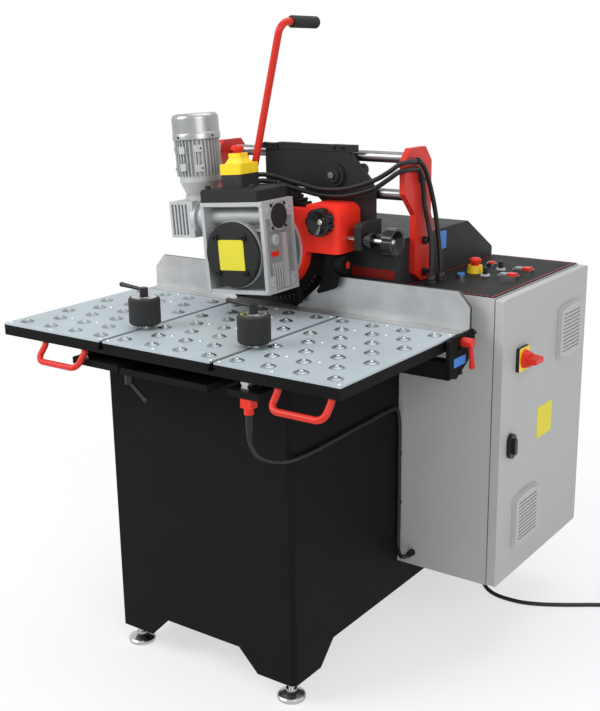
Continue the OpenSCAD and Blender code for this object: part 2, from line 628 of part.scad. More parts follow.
// Fence: ledge and upright plate with cut top corners and room for the cutter, its end brackets with
// slanted slots, the clamp lever
module fence() color(ALUMINIUM) {
  box(fence_x, [ledge_y, fence_y + fence_t], [-ledge_t, 0]);
  along_y([fence_y, fence_y + fence_t]) let (a = fence_x[0], b = fence_x[1], cx = fence_chamfer[0], cz = fence_chamfer[1])
    polygon([[a, -ledge_t], [b, -ledge_t], [b, fence_h - cz], [b - cx, fence_h], [notch_top[1], fence_h],
      [notch_low[1], 0], [notch_low[0], 0], [notch_top[0], fence_h], [a + cx, fence_h], [a, fence_h - cz]]);
}
module slanted_slot(stud) let (w = stud_d + 2 * gap, back = -fence_travel * [slide_dir[1], slide_dir[2]])
  translate(stud) union() {
    circle(d = w);
    translate(back) circle(d = w);
    rotate(slot_slant) translate([-fence_travel, 0.1 - w / 2]) square([fence_travel, w - 0.2]);
  }
module fence_brackets() color(BLACK) {
  along_x([fence_x[1], fence_x[1] + bracket_t]) difference() {
    polygon([[ledge_y - 75, -2], [ledge_y - 54, 5], [fence_y + fence_t - 2, 5], [fence_y + fence_t + 3, -20],
      [fence_y - 19, -65], [ledge_y - 37, -95], [ledge_y - 66, -88]]);
    slanted_slot(right_stud);
  }
  along_x([fence_x[0], fence_x[0] + bracket_t]) difference() {
    polygon([[left_arm_y[0], -ledge_t], [left_arm_y[1], -ledge_t], [left_arm_y[1], arm_z[0] + 14],
      [left_arm_y[0], arm_z[0] + 14]]);
    slanted_slot(left_stud);
  }
}
module fence_lever() color(RED) translate([fence_x[1] + bracket_t + gap, right_stud[0], right_stud[1]])
  rotate([0, 90, 0]) rotate(4) clamp_lever(22, 26, 56, 4, 13);

// Carriage: slotted plate that hangs on the rods, top bar, clamp block for the side screw
module carriage_plate() color(BLACK) {
  difference() {
    along_y(carriage_y) polygon([[carriage_x[0], rod_high + 11], [618, rod_high + 11], [679, 319], [689, 291],
      [689, 229], [carriage_x[1], 229], [carriage_x[1], over_hood], [carriage_x[0], over_hood]]);
    rod_y(carriage_y + [-cut, cut], [head_x, head_z], 2 * cutter_room + 2);
  }
  bar_y = [carriage_y[0] - 4, carriage_y[1]];
  box([401, 618], bar_y + [2, 0], [rod_high + 11, rod_high + 27]);
  box([355, 401], bar_y + [-4, 0], [rod_high + 11, rod_high + 25]);
  box([618, 637], bar_y, [rod_high + 11, rod_high + 28]);
  difference() {
    along_x(clamp_x) polygon([[screw_at[0] - 21, 163], [hood_y[0] - 3, 163], [hood_y[0] - 3, over_hood],
      [carriage_y[0], over_hood], [carriage_y[0], 227], [screw_at[0] - 9, 227], [screw_at[0] - 21, 217]]);
    rod_x(clamp_x + [-cut, cut], screw_at, screw_d + 2 * run);
  }
}
// Bearing blocks on the rods, the axle cap in front and the guide roller behind the plate
module carriage_bearings() color(BLACK) {
  for (at = [[375, rod_high], [540, rod_high], [375, rod_low], [585, rod_low]]) difference() {
    box([at[0], at[0] + 60], [carriage_y[1], rod_y + rod_d / 2 + 9], around(at[1], rod_d + 20));
    rod_x([at[0] - cut, at[0] + 60 + cut], [rod_y, at[1]], rod_d + 2 * run);
  }
  cap = [574, 329];
  rod_y([carriage_y[0] - 8, carriage_y[0]], cap, 60);
  rod_y([carriage_y[0] - 15, carriage_y[0] - 7], cap, 38);
  rod_y([carriage_y[0] - 21, carriage_y[0] - 14], cap, 16);
  rod_y([carriage_y[1], carriage_y[1] + 20], [639, 342], 30);
}

// Red casting: ring round the cutter shaft, web to the block, block against the carriage plate
module cast_block_outline() {
  r = 24;
  difference() {
    translate([cast_x[0], cast_z[0]]) square([cast_x[1] - cast_x[0], cast_z[1] - cast_z[0]]);
    translate([cast_x[1] - r, cast_z[1] - r]) square(r + cut);
  }
  translate([cast_x[1] - r, cast_z[1] - r]) circle(r);
}
module cast_block_plan() {
  r = 18;
  difference() {
    translate([cast_x[0], cast_y[0]]) square([cast_x[1] - cast_x[0], carriage_y[0] - cast_y[0]]);
    translate([cast_x[1] - r, cast_y[0] - cut]) square([r + cut, r + cut]);
  }
  translate([cast_x[1] - r, cast_y[0] + r]) circle(r);
}
module head_casting() color(RED) difference() {
  union() {
    along_y(cast_y) {
      translate([head_x, head_z]) circle(annulus_r);
      polygon([[head_x + 20, cast_z[1] - 12], [cast_x[0] + 20, cast_z[1] - 12], [cast_x[0] + 20, cast_z[0]],
        [cast_x[0], cast_z[0]], [cast_x[0] - 34, 92], [head_x, head_z]]);
    }
    intersection() {
      along_y([cast_y[0], carriage_y[0]]) cast_block_outline();
      along_z(cast_z) cast_block_plan();
    }
  }
  rod_y(cast_y + [-cut, cut], [head_x, head_z], shaft_d + 6);
  rod_y([guard_y[0], cutter_y[1] + 3], [head_x, head_z], 2 * cutter_room);
  box(cast_x + [-cut, cut], [hood_y[0] - 3, carriage_y[0] + cut], [cast_z[0] - cut, over_hood]);
}
// Lobed hand knob with a dished face, drawn along Z with its stem below
module lobed_knob(d, h, stem_d, stem_h) difference() {
  union() {
    cylinder(d = stem_d, h = stem_h);
    translate([0, 0, stem_h]) linear_extrude(h) difference() {
      circle(d = d);
      for (k = [0:6]) rotate(k * 360 / 7) translate([0.58 * d, 0]) circle(d = 0.26 * d);
    }
    translate([0, 0, stem_h - 0.2 * h]) cylinder(d = 0.55 * d, h = 0.4 * h);
  }
  translate([0, 0, stem_h + h - 12]) cylinder(d1 = 0.28 * d, d2 = 0.82 * d, h = 12 + 0.01);
}
module front_knob() color(BLACK) translate([front_knob_at[0], cast_y[0] - gap, front_knob_at[1]])
  rotate([90, 0, 0]) lobed_knob(knob_d, 24, 26, 8);
module side_knob() {
  color(STEEL) rod_x([cast_x[1] + gap, side_knob_x + 4], screw_at, screw_d);
  color(BLACK) {
    along_x([clamp_x[1] + gap, clamp_x[1] + 21]) translate(screw_at) difference() {
      circle(d = 36);
      for (k = [0:15]) rotate(k * 22.5) translate([18.6, 0]) circle(d = 4);
    }
    translate([side_knob_x, screw_at[0], screw_at[1]]) rotate([0, 90, 0]) lobed_knob(knob_d, 26, 26, 10);
  }
}

// Gear train, drawn about the output axis and leaned as one
module leaned() translate([head_x, 0, head_z]) rotate([0, -head_lean, 0]) children();
module gearbox_side(u) {
  v = worm_offset;
  for (z = [[gear_above - 42, gear_above - 6], [6 - gear_below, 42 - gear_below]], y = [gear_y[0] + 10, gear_y[1] - 30])
    box([u - 8, u - 0.6], [y, y + 21], z);
  rod_x([u - 8, u - 0.5], [gear_my, v], 70);
  for (y = [-26, 26], z = [-27, 27]) rod_x([u - 8, u - 1.5], [gear_my + y, v + z], 15);
  box([u - 8, u - 1], [gear_my + 11, gear_my + 27], [8 - gear_below, v - 42]);
  rod_x([u - 8, u - 2], [gear_my - 17, v - 56], 29);
  for (k = [0:4]) along_y([gear_my - 33 + k * 9.5, gear_my - 28.4 + k * 9.5])
    polygon([[u - 8, 8 - gear_below], [u - 1.2, 8 - gear_below], [u - 1.2, -38], [u - 8, -24]]);
}
module main_gearbox() color(CAST) leaned() difference() {
  u = gear_w / 2;
  frame = 10;
  pocket = 40;
  union() {
    difference() {
      box([-u, u], gear_y, [-gear_below, gear_above]);
      box([frame - u, u - frame], [gear_y[0] - cut, gear_y[0] + pocket], [frame - gear_below, gear_above - frame]);
      for (s = [-1, 1]) {
        box(around(s * u, 10), gear_y + [10, -9], [6 - gear_below, gear_above - 6]);
        box(around(s * u, 14), [gear_my - 37, gear_my + 27], [8 - gear_below, worm_offset - 40]);
      }
    }
    rod_y([gear_y[0], gear_y[0] + 7], [0, 0], 164);
    rod_y([gear_y[0], gear_y[0] + pocket + cut], [0, 0], 150);
    rod_x([frame - u - cut, u - frame + cut], [gear_y[0] + pocket + 2, worm_offset + 2], 38);
    box([frame - u - cut, u - frame + cut], [gear_y[0] + 22, gear_y[0] + pocket + cut], [worm_offset - 34, worm_offset - 28]);
    gearbox_side(u);
    mirror([1, 0, 0]) gearbox_side(u);
    rod_y(ring_y + [-cut, 0], [0, 0], 2 * ring_r);
  }
  rod_y([gear_my, ring_y[1] + cut], [0, 0], shaft_d + 2 * run);
}
module gearbox_covers() color(BLACK) leaned() {
  translate([0, gear_y[0], 0]) rotate([90, 0, 0]) rotate_extrude()
    polygon([[0, 0], [cover_d / 2, 0], [cover_d / 2, 9], [cover_d / 2 - 3, 12], [0, 12]]);
  rod_x([gear_w / 2, gear_w / 2 + 3], [gear_my, worm_offset], 60);
  along_y([gear_y[0] + 2, gear_y[1] - 2]) let (a = -gear_w / 2 + 3, b = gear_w / 2 - 15)
    polygon([[a, gear_above], [b, gear_above], [b, top_v - 6], [b - 6, top_v], [a + 6, top_v], [a, top_v - 6]]);
}
module small_gearbox() color(CAST) leaned() {
  u = -gear_w / 2;
  v = worm_offset;
  rod_x([u - 12, u], [gear_my, v - 4], 100);
  rod_x([u - 42, u - 12], [gear_my, v - 4], 78);
  rod_x([u - 50, u - 36], [gear_my, v - 4], 96);
  difference() {
    box(small_x, [gear_my - 44, motor_at[1] + 44], around(v - 4, 90));
    for (k = [0:4]) box([small_x[0] + 7, small_x[0] + 13] + [1, 1] * k * 11, [gear_my - 44 - cut, gear_my - 34],
      around(v - 4, 76));
  }
  rod_z([v + 40, motor_z], motor_at, 84);
}
module finned(d, depth, n, z) along_z(z) union() {
  circle(d = d - 2 * depth);
  for (k = [0:n - 1]) rotate(k * 360 / n) translate([d / 2 - depth - 3, -1.3]) square([depth + 3, 2.6]);
}
module motor() color(CAST) leaned() translate([motor_at[0], motor_at[1], 0]) {
  neck = motor_z;
  body = [neck + 49, motor_top];
  difference() {
    union() {
      translate([0, 0, neck]) rotate_extrude() polygon([[0, 0], [38, 0], [42, 10], [52, 34], [52, 49], [0, 49]]);
      finned(motor_d, 8, motor_fins, [body[0] - 0.01, body[1]]);
      translate([0, 0, body[1] - 7]) cylinder(d = cowl_d - 8, h = 7);
      for (z = [body[0] + 14, body[0] + 56]) box([-9, 9], [-motor_d / 2 - 5, -motor_d / 2 + 16], [z, z + 18]);
    }
    translate([0, 0, body[1] - 26]) cylinder(d = 16, h = 26 + cut);
  }
  cowl = [body[1] - 14, neck + 202];
  r = 13;
  difference() {
    translate([0, 0, cowl[0]]) rotate_extrude() cowl_profile(cowl_d / 2, cowl[1] - cowl[0], r);
    translate([0, 0, cowl[0] - cut]) cylinder(d = cowl_d - 8, h = 14 + cut);
    translate([0, 0, cowl[0] + 14]) rotate_extrude() cowl_profile(cowl_d / 2 - 4, cowl[1] - cowl[0] - 18, r - 4);
  }
}
module cowl_profile(half, h, r) {
  square([half, h - r]);
  square([half - r, h]);
  translate([half - r, h - r]) intersection() {
    circle(r);
    square(r);
  }
}
module motor_rotor() color(BLACK) leaned() translate([motor_at[0], motor_at[1], motor_top]) {
  rod_z([-25, 28], [0, 0], 14);
  rod_z([6, 26], [0, 0], 34);
  for (k = [0:6]) rotate(k * 360 / 7) box([15, 50], [-1.2, 1.2], [8, 25]);
}
// Emergency-stop box on the top plate: base, cover with its neck, and the mushroom button
module at_box() leaned() translate([box_at[0], box_at[1], top_v]) children();
module estop_box() color(YELLOW) at_box() difference() {
  union() {
    along_z([0, box_base_h]) rounded(around(0, box_size[0]), around(0, box_size[1]), 5);
    along_z([box_base_h, box_base_h + box_cover_h]) rounded(around(0, box_size[0] + 3), around(0, box_size[1] + 3), 6);
    translate([0, 0, box_base_h + box_cover_h]) linear_extrude(box_neck_h * 0.5, scale = neck_taper)
      rounded(around(0, neck_size[0]), around(0, neck_size[1]), 6);
    along_z([box_base_h + box_cover_h + box_neck_h * 0.5, box_base_h + box_cover_h + box_neck_h])
      rounded(around(0, neck_size[0] * neck_taper), around(0, neck_size[1] * neck_taper), 6 * neck_taper);
  }
  translate([0, 0, box_base_h + box_cover_h]) cylinder(d = stem_d + 2 * gap, h = box_neck_h + cut);
}
module mushroom(stem_d, stem_h, d, h) {
  translate([0, 0, -stem_h]) cylinder(d = stem_d, h = stem_h + 1);
  rotate_extrude() polygon([[0, 0], [d / 2 - 4, 0], [d / 2, 4], [d / 2, h - 5], [d / 2 - 5, h], [0, h]]);
}
module head_estop_button() color(RED) at_box()
  translate([0, 0, box_base_h + box_cover_h + box_neck_h + 5]) mushroom(stem_d, 22, 32, 14);

// Lever: bent red tube on a foot, with a ribbed grip on its end
lever_end = [cos(grip_drop) * cos(grip_yaw), cos(grip_drop) * sin(grip_yaw), -sin(grip_drop)];
lever_corner = [lever_top[0], lever_foot[1], lever_top[1]];
module lever_tube() color(RED) {
  leaned() rod_z([top_v, top_v + 16], lever_foot, lever_d + 4);
  foot = [409, lever_foot[1], 314];
  bent_bar([foot, lever_corner, lever_corner + lever_end * (grip_from + grip_l - 3)], lever_d, 30);
}
module lever_grip() color(RUBBER) translate(lever_corner + lever_end * grip_from) rotate([0, 90 + grip_drop, grip_yaw])
  rotate_extrude() let (ribs = 9, step = grip_l / ribs, hi = grip_d / 2, lo = hi - 1.6, in = lever_d / 2 + run)
  polygon(concat([[in, 0]], [for (k = [0:ribs - 1]) each [[lo, k * step], [hi, (k + 0.25) * step],
    [hi, (k + 0.75) * step], [lo, (k + 1) * step]]], [[0, grip_l], [0, grip_l - 2.5], [in, grip_l - 2.5]]));

// Cutter: toothed wheel on its shaft
function tooth_ring(n, r, h) = [for (k = [0:n - 1]) let (a = 360 * k / n, s = 360 / n)
  each [[(r - h) * cos(a), (r - h) * sin(a)], [(r - h) * cos(a + 0.42 * s), (r - h) * sin(a + 0.42 * s)],
    [r * cos(a + 0.5 * s), r * sin(a + 0.5 * s)], [r * cos(a + 0.86 * s), r * sin(a + 0.86 * s)]]];
module cutter() color(BLACK) {
  along_y(cutter_y) translate([head_x, head_z]) polygon(tooth_ring(cutter_teeth, cutter_r, tooth_h));
  rod_y([gear_my + 2, cutter_y[0] + cut], [head_x, head_z], shaft_d);
}
// Chip guard: plate before the cutter, hold-down arm with its adjusting knob, and the edge pin on a lug
module cutter_guard() color(BLACK) {
  arm_y = [guard_y[0] - 17, guard_y[0]];
  arm_my = (arm_y[0] + arm_y[1]) / 2;
  difference() {
    along_y(guard_y) {
      translate([head_x, head_z]) circle(guard_r);
      polygon([[head_x, head_z], [602, cast_z[0]], [586, 88], [head_x + 100, 88]]);
    }
    rod_y(guard_y + [-cut, cut], [head_x, head_z], shaft_d + 6);
    box([cast_x[0], 700], guard_y + [-cut, cut], [cast_z[0], 400]);
  }
  along_y(arm_y) polygon([[606, cast_z[0]], [636, cast_z[0]], [636, 100], [627, 66], [620, 60], [582, 46], [576, 52],
    [590, 74]]);
  rod_x([636, 659], [arm_my, 124], 43);
  rod_x([659, 663], [arm_my, 124], 18);
  pin_at = [head_x + 79, guard_y[0] - 9];
  box(around(pin_at[0], 20), [pin_at[1], guard_y[0]], [42, 56]);
  rod_z([14, 56], pin_at, 18);
}
module head_cables() color(RUBBER) {
  for (v = [9, 24]) at_box() rod_y([box_size[1] / 2, box_size[1] / 2 + 9], [20, v], 14);
  cable(head_route_a, head_cable_d, 2);
  cable(head_route_b, head_cable_d, 2);
}

// Cabinet: open-fronted steel box with a door flange, mounting plate, hinge brackets and pins
module cabinet_body() color(CABINET) {
  t = cab_wall;
  difference() {
    box(cab_x, cab_y, cab_z);
    box([cab_x[0] + t, cab_x[1] - t], cab_y + [t, -t], cab_z + [t, -t]);
    box([cab_x[1] - 2 * t, cab_x[1] + cut], cab_y + [flange_w, -flange_w], cab_z + [flange_w, -flange_w]);
  }
  box([cab_x[0] + t, cab_x[0] + 6], cab_y + [40, -40], cab_z + [40, -40]);
  for (z = hinge_z) {
    box([cab_x[1], hinge_at[0] + 4], around(hinge_at[1], 6), around(z, 10));
    rod_z(around(z, 44), hinge_at, hinge_pin_d);
  }
}
// Door: folded pan with rounded edges, hinge knuckles inside and openings at the vents
module cabinet_door() color(CABINET) {
  t = cab_wall;
  difference() {
    along_x(door_x) rounded(door_y, door_z, 6);
    along_x([door_x[0] - cut, door_x[1] - t]) rounded(door_y + [t, -t], door_z + [t, -t], 4);
    for (z = hinge_z) box([door_x[0] - cut, hinge_at[0] + 6], [hinge_at[1] - 2, door_y[1] + cut], around(z, 14));
    for (at = vent_at) box([door_x[0] - cut, door_x[1] + cut], around(at[0], vent_w - 30), around(at[1], vent_w - 30));
    rod_x([door_x[0] - cut, door_x[1] + cut], isolator_at, 14);
    rod_x([door_x[0] - cut, door_x[1] + cut], lock_at, 20 + 2 * run);
  }
  for (z = hinge_z, s = [-1, 1]) difference() {
    box([hinge_at[0] - 7, door_x[1] - t], around(hinge_at[1], 12), around(z + s * 15, 14));
    rod_z([z - 30, z + 30], hinge_at, hinge_pin_d + 2 * gap);
  }
}
// Fittings on the door: louvred vents with a gently bowed top and bottom, and the isolator's plate
module vent_outline(w, bow) let (r = (w * w + bow * bow) / (2 * bow)) intersection() {
  rounded([-w, w], [-w, w], 9);
  translate([0, w - r]) circle(r = r, $fa = 2);
  translate([0, r - w]) circle(r = r, $fa = 2);
}
module louvre() let (w = vent_w / 2) difference() {
  union() {
    along_x([0, 6]) vent_outline(w, 12);
    along_x([0, 10]) vent_outline(w - 5, 11);
  }
  for (k = [-5:5]) box([6.5, 11], [-w + 20, w - 20], around(k * 9.6, 4.2));
}
module door_fittings() color(CABINET) {
  for (at = vent_at) translate([door_x[1], at[0], at[1]]) louvre();
  difference() {
    along_x([door_x[1], door_x[1] + 9]) translate(isolator_at) rounded(around(0, isolator_w), around(0, isolator_w), 4);
    rod_x([door_x[1] - cut, door_x[1] + 9 + cut], isolator_at, 12 + 2 * run);
  }
}
module isolator_knob() color(RED) translate([door_x[1] + 9 + gap, isolator_at[0], isolator_at[1]]) rotate([0, 90, 0]) {
  translate([0, 0, -12]) cylinder(d = 12, h = 13);
  cylinder(d1 = 46, d2 = 36, h = 16);
  translate([0, 0, 15]) rotate(90) along_x(around(0, 42)) let (h = isolator_reach - 9 - gap - 15)
    polygon([[-9, 0], [9, 0], [6, h], [-6, h]]);
}
module door_lock() color(BLACK) translate([door_x[1] + gap, lock_at[0], lock_at[1]]) rotate([0, 90, 0]) {
  translate([0, 0, -12]) cylinder(d = 20, h = 13);
  along_z([0, 10]) rounded(around(0, 62), around(0, 36), 17.9);
  along_z([10, 18]) rounded(around(0, 40), around(0, 14), 6);
}

// Control panel on the cabinet top, with bezels, collar, buttons and dials
module control_panel() color(BLACK)
  along_z([cab_top, panel_z]) rounded(cab_x + [3, -3], cab_y + [3, -3], 4);
module bezel(at) translate([at[0], at[1], panel_z]) difference() {
  cylinder(d = bezel_d, h = bezel_h);
  translate([0, 0, -cut]) cylinder(d = button_d + 2 * gap, h = bezel_h + 2 * cut);
}
module control_bezels() color(STEEL) {
  bezel(blue_at);
  bezel(red_at);
  for (at = dial_at) translate([at[0], at[1], panel_z]) difference() {
    cylinder(d1 = bezel_d + 1, d2 = bezel_d - 3, h = 4);
    translate([0, 0, -cut]) cylinder(d = 8 + 2 * run, h = 4 + 2 * cut);
  }
  for (at = double_at) translate([at[0], at[1], 0]) difference() {
    along_z([panel_z, panel_z + bezel_h]) rounded(around(0, double_size[0]), around(0, double_size[1]), 3);
    for (s = [-1, 1]) box(around(s * half_off, half_size[0] + 2 * gap), around(0, half_size[1] + 2 * gap),
      [panel_z - cut, panel_z + bezel_h + cut]);
  }
  translate([estop_at[0], estop_at[1], panel_z]) difference() {
    cylinder(d1 = 42, d2 = 36, h = collar_h);
    translate([0, 0, -cut]) cylinder(d = stem_d + 2 * gap, h = collar_h + 2 * cut);
  }
}
module panel_estop_button() color(RED) translate([estop_at[0], estop_at[1], panel_z + collar_h + 4]) mushroom(stem_d, 16, 31, 15);
module round_button(at) translate([at[0], at[1], panel_z + button_travel + 0.5])
  cylinder(d = button_d, h = bezel_h + button_rise - button_travel);
module red_button() color(RED) round_button(red_at);
module blue_button() color("#2f6fb5") round_button(blue_at);
module half_button(at, s) translate([at[0], at[1], 0]) box(around(s * half_off, half_size[0]), around(0, half_size[1]),
  [panel_z + button_travel + 0.5, panel_z + bezel_h + (s > 0 ? 6 : 4)]);
module dial_knob(at) color(BLACK) translate([at[0], at[1], panel_z]) {
  translate([0, 0, gap]) cylinder(d = 8, h = 6);
  translate([0, 0, 4 + gap]) difference() {
    cylinder(d1 = 13, d2 = 10.5, h = 17);
    translate([-0.8, 1.5, 15.5]) cube([1.6, 8, 4]);
  }
}

// Rail switch under the right beam, the clipped cables with their clips and glands
module rail_switch() color(RED) translate([switch_at[0], switch_at[1], 0]) {
  box([-14, 14], [-11, 11], [base_z1 - 22, base_z1]);
  rod_z([base_z1 - 36, base_z1 - 22], [0, 0], 21);
  rod_z([base_z1 - 64, base_z1 - 36], [0, 0], 16);
}
module fixed_cables() color(RUBBER) {
  cable(switch_route, switch_cable_d, 1);
  cable(panel_route_a, head_cable_d, 2);
  cable(panel_route_b, head_cable_d, 2);
  for (end = [panel_route_a[len(panel_route_a) - 1], panel_route_b[len(panel_route_b) - 1]]) {
    rod_z([panel_z, panel_z + 12], end, 27);
    rod_z([panel_z + 12, end[2]], end, 22);
  }
  for (route = [head_route_a, head_route_b]) let (end = route[len(route) - 1])
    rod_y(clamp_y, [end[0], end[2]], 2 * (end[0] - base_x[1] - side_t));
  rod_y([cab_y[0] - 22, cab_y[0]], [cab_x[0] + 44, -612], 18);
  translate([gland_at[0], gland_at[1], cab_z[0]]) mirror([0, 0, 1]) {
    cylinder(d = 30, h = 14);
    translate([0, 0, 14]) cylinder(d1 = 24, d2 = lead_d + 3, h = cab_z[0] - lead_route[0][2] - 14);
  }
}

// Mains lead on the floor, its put-away coil in two layers and its plug
module mains_lead() color(RUBBER) cable(lead_route, lead_d, 2);
function coil_point(a) = let (r = coil_in + coil_pitch * abs(a - coil_mid_a) / 360,
  climb = min(max(a - coil_mid_a + 90, 0), 180))
  [coil_at[0] + r * sin(a), coil_at[1] - r * cos(a), floor_z + lead_d / 2 + coil_pitch * (1 - cos(climb)) / 2];
coil_curve = [for (a = [0:15:2 * coil_mid_a]) coil_point(a)];
coil_last = coil_curve[len(coil_curve) - 1];
echo(coil_least_gap = min([for (i = [0:len(coil_curve) - 1], j = [i + 4:1:len(coil_curve) - 1])
  norm(coil_curve[i] - coil_curve[j])]) - lead_d);
module mains_coil() color(RUBBER)
  swept(concat([coil_curve[0] - [lead_d, 0, 0]], coil_curve, [coil_last + tangent(coil_curve, len(coil_curve) - 1) * lead_d]),
    lead_d, 6);
module mains_plug() color(BLACK) {
  t = tangent(coil_curve, len(coil_curve) - 1);
  translate(coil_last) rotate(atan2(t[1], t[0])) rotate([0, 90, 0]) {
    translate([0, 0, lead_d]) cylinder(d1 = lead_d + 3, d2 = 22, h = 30);
    translate([0, 0, lead_d + 30]) cylinder(d = 2 * (lead_d / 2 + coil_pitch), h = 52);
    for (k = [0:2]) rotate(k * 120) translate([8, 0, lead_d + 82]) cylinder(d = 5, h = 18);
  }
}

place() base_cabinet();
place() levelling_feet();
place() rail_beams();
place() guide_rails_and_rods();
place() rear_hood();
place() side_plates();
place() fence_arms();
place() cabinet_body();
place() control_panel();
place() control_bezels();
place() fixed_cables();
place() rail_switch();
place() mains_lead();
place() mains_coil();
place() mains_plug();
place() table_frame();
place() table_panels();
place() ball_units();
place() pull_handles();
place() rail_blocks();
place() roller_post(seam_x[0]);  // roller_post_left
place() roller_post(seam_x[1]);  // roller_post_right
place() guide_roller(seam_x[0]);  // guide_roller_left
place() guide_roller(seam_x[1]);  // guide_roller_right
place() roller_lever(seam_x[0]);  // roller_lever_left
place() roller_lever(seam_x[1]);  // roller_lever_right
place() table_clamp_lever();
place() fence();
place() fence_brackets();
place() fence_lever();
place() carriage_plate();
place() carriage_bearings();
place() head_casting();
place() front_knob();
place() side_knob();
place() main_gearbox();
place() gearbox_covers();
place() small_gearbox();
place() motor();
place() motor_rotor();
place() estop_box();
place() head_estop_button();
place() lever_tube();
place() lever_grip();
place() cutter();
place() cutter_guard();
place() head_cables();
place() cabinet_door();
place() door_fittings();
place() isolator_knob();
place() door_lock();
place() panel_estop_button();
place() dial_knob(dial_at[0]);  // dial_knob_front
place() dial_knob(dial_at[1]);  // dial_knob_rear
place() red_button();
place() blue_button();
place() color(STEEL) half_button(double_at[0], -1);  // start_button_front
place() color(RED) half_button(double_at[0], 1);  // stop_button_front
place() color(STEEL) half_button(double_at[1], -1);  // start_button_rear
place() color(RED) half_button(double_at[1], 1);  // stop_button_rear
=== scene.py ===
"""Plate-edge bevelling machine: finishes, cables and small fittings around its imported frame.

Lengths in this file are millimetres from the table's front left top corner, as in the part's own
drawing: X to the right, Y to the back, Z up. piece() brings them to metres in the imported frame.
"""

import math

import bpy
import numpy as np
from bpy.props import FloatProperty, FloatVectorProperty, IntProperty, PointerProperty
from mathutils import Matrix, Vector


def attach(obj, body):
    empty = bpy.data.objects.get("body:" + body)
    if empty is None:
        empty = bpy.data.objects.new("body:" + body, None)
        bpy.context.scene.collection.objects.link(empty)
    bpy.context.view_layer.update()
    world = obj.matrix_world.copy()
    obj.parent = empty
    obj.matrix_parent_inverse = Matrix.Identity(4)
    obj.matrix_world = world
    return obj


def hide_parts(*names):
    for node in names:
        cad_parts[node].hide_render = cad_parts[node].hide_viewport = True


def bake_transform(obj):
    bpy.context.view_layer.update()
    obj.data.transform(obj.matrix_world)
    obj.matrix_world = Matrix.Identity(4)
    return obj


bl_info = {
    "name": "Plate-edge bevelling machine",
    "version": (1, 0, 0),
    "blender": (4, 5, 0),
    "location": "3D View > Sidebar > Bevelling machine",
    "description": "Dresses the packed bevelling machine with finishes, cables and fittings",
    "category": "Object",
}

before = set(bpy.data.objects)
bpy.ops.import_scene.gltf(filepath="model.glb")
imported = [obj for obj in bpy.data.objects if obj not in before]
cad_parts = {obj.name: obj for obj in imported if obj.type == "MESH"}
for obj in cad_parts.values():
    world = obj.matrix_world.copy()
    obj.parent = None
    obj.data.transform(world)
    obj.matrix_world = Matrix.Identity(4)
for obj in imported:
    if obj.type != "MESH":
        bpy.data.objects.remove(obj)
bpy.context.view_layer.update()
DRAWING_ORIGIN = np.array((550.5, 516.25, -836.0))
FLOOR_Z = -836.0
RIGHT, LEFT, FRONT, REAR, UP, DOWN = (1, 0, 0), (-1, 0, 0), (0, -1, 0), (0, 1, 0), (0, 0, 1), (0, 0, -1)

# Camera: azimuth, elevation and roll in degrees, and its place
CAMERA_TURN, CAMERA_AT = (35.596, 15.566, -0.838), (2110, -1719, 638)

# Table panels, balls and rollers
PANEL_W, TABLE_D, ROLLER_Y = 325.0, 483.0, 149.0
BALL_PITCH_X, BALL_PITCH_Y, BALL_Z, BALL_R = 83.0, 67.5, -1.0, 8.0

# Output axis of the gearbox and the sideways lean of gearbox and motor
HEAD_X, HEAD_Z, HEAD_LEAN = 438.0, 153.0, math.radians(4.5)
# Along the lean: gearbox front, top and disc thickness, stop box, motor axis and the cowl's lower edge
GEAR_FRONT, TOP_V, DISC_T = 352.0, 157.0, 12.0
BOX_U, BOX_Y, BOX_HALF = -9.0, 410.0, 36.0
MOTOR_U, MOTOR_Y, COWL_V = -172.0, 453.0, 274.8

# Middles of axle and side screw on the carriage, isolator on the door, stop and dials on the panel
AXLE_XZ, SIDE_SCREW_YZ = (574, 329), (524, 186.5)
ISOLATOR_YZ, STOP_XY, DIALS_XY = (661, -87), (856, 801), ((895, 779), (895, 869))
# Where the finish changes on switch, axle, guard, stop box and fence edges, and where painted shade or a
# painted dark reflection lies on the rails' rods, the drum, the gearbox window and the fence's ledge
ROD_Z, SWITCH_FOOT_Z, AXLE_END_Y, GUARD_END_X = 200.0, -106.01, 571.6, 660.0
BOX_SPLIT, DRUM_RIM_Y, WINDOW_DEPTH, LEDGE_TOP, LEDGE_EDGE, FENCE_UPPER = 31.9, 475.0, 40.0, 12.0, 8.0, 40.0
# Faces that fittings stand on
HOOD_FRONT, PANEL_TOP, DOOR_FACE, BRACKET_FACE, CABINET_BOTTOM = 560.0, 76.0, 1053.0, 993.0, -646.0

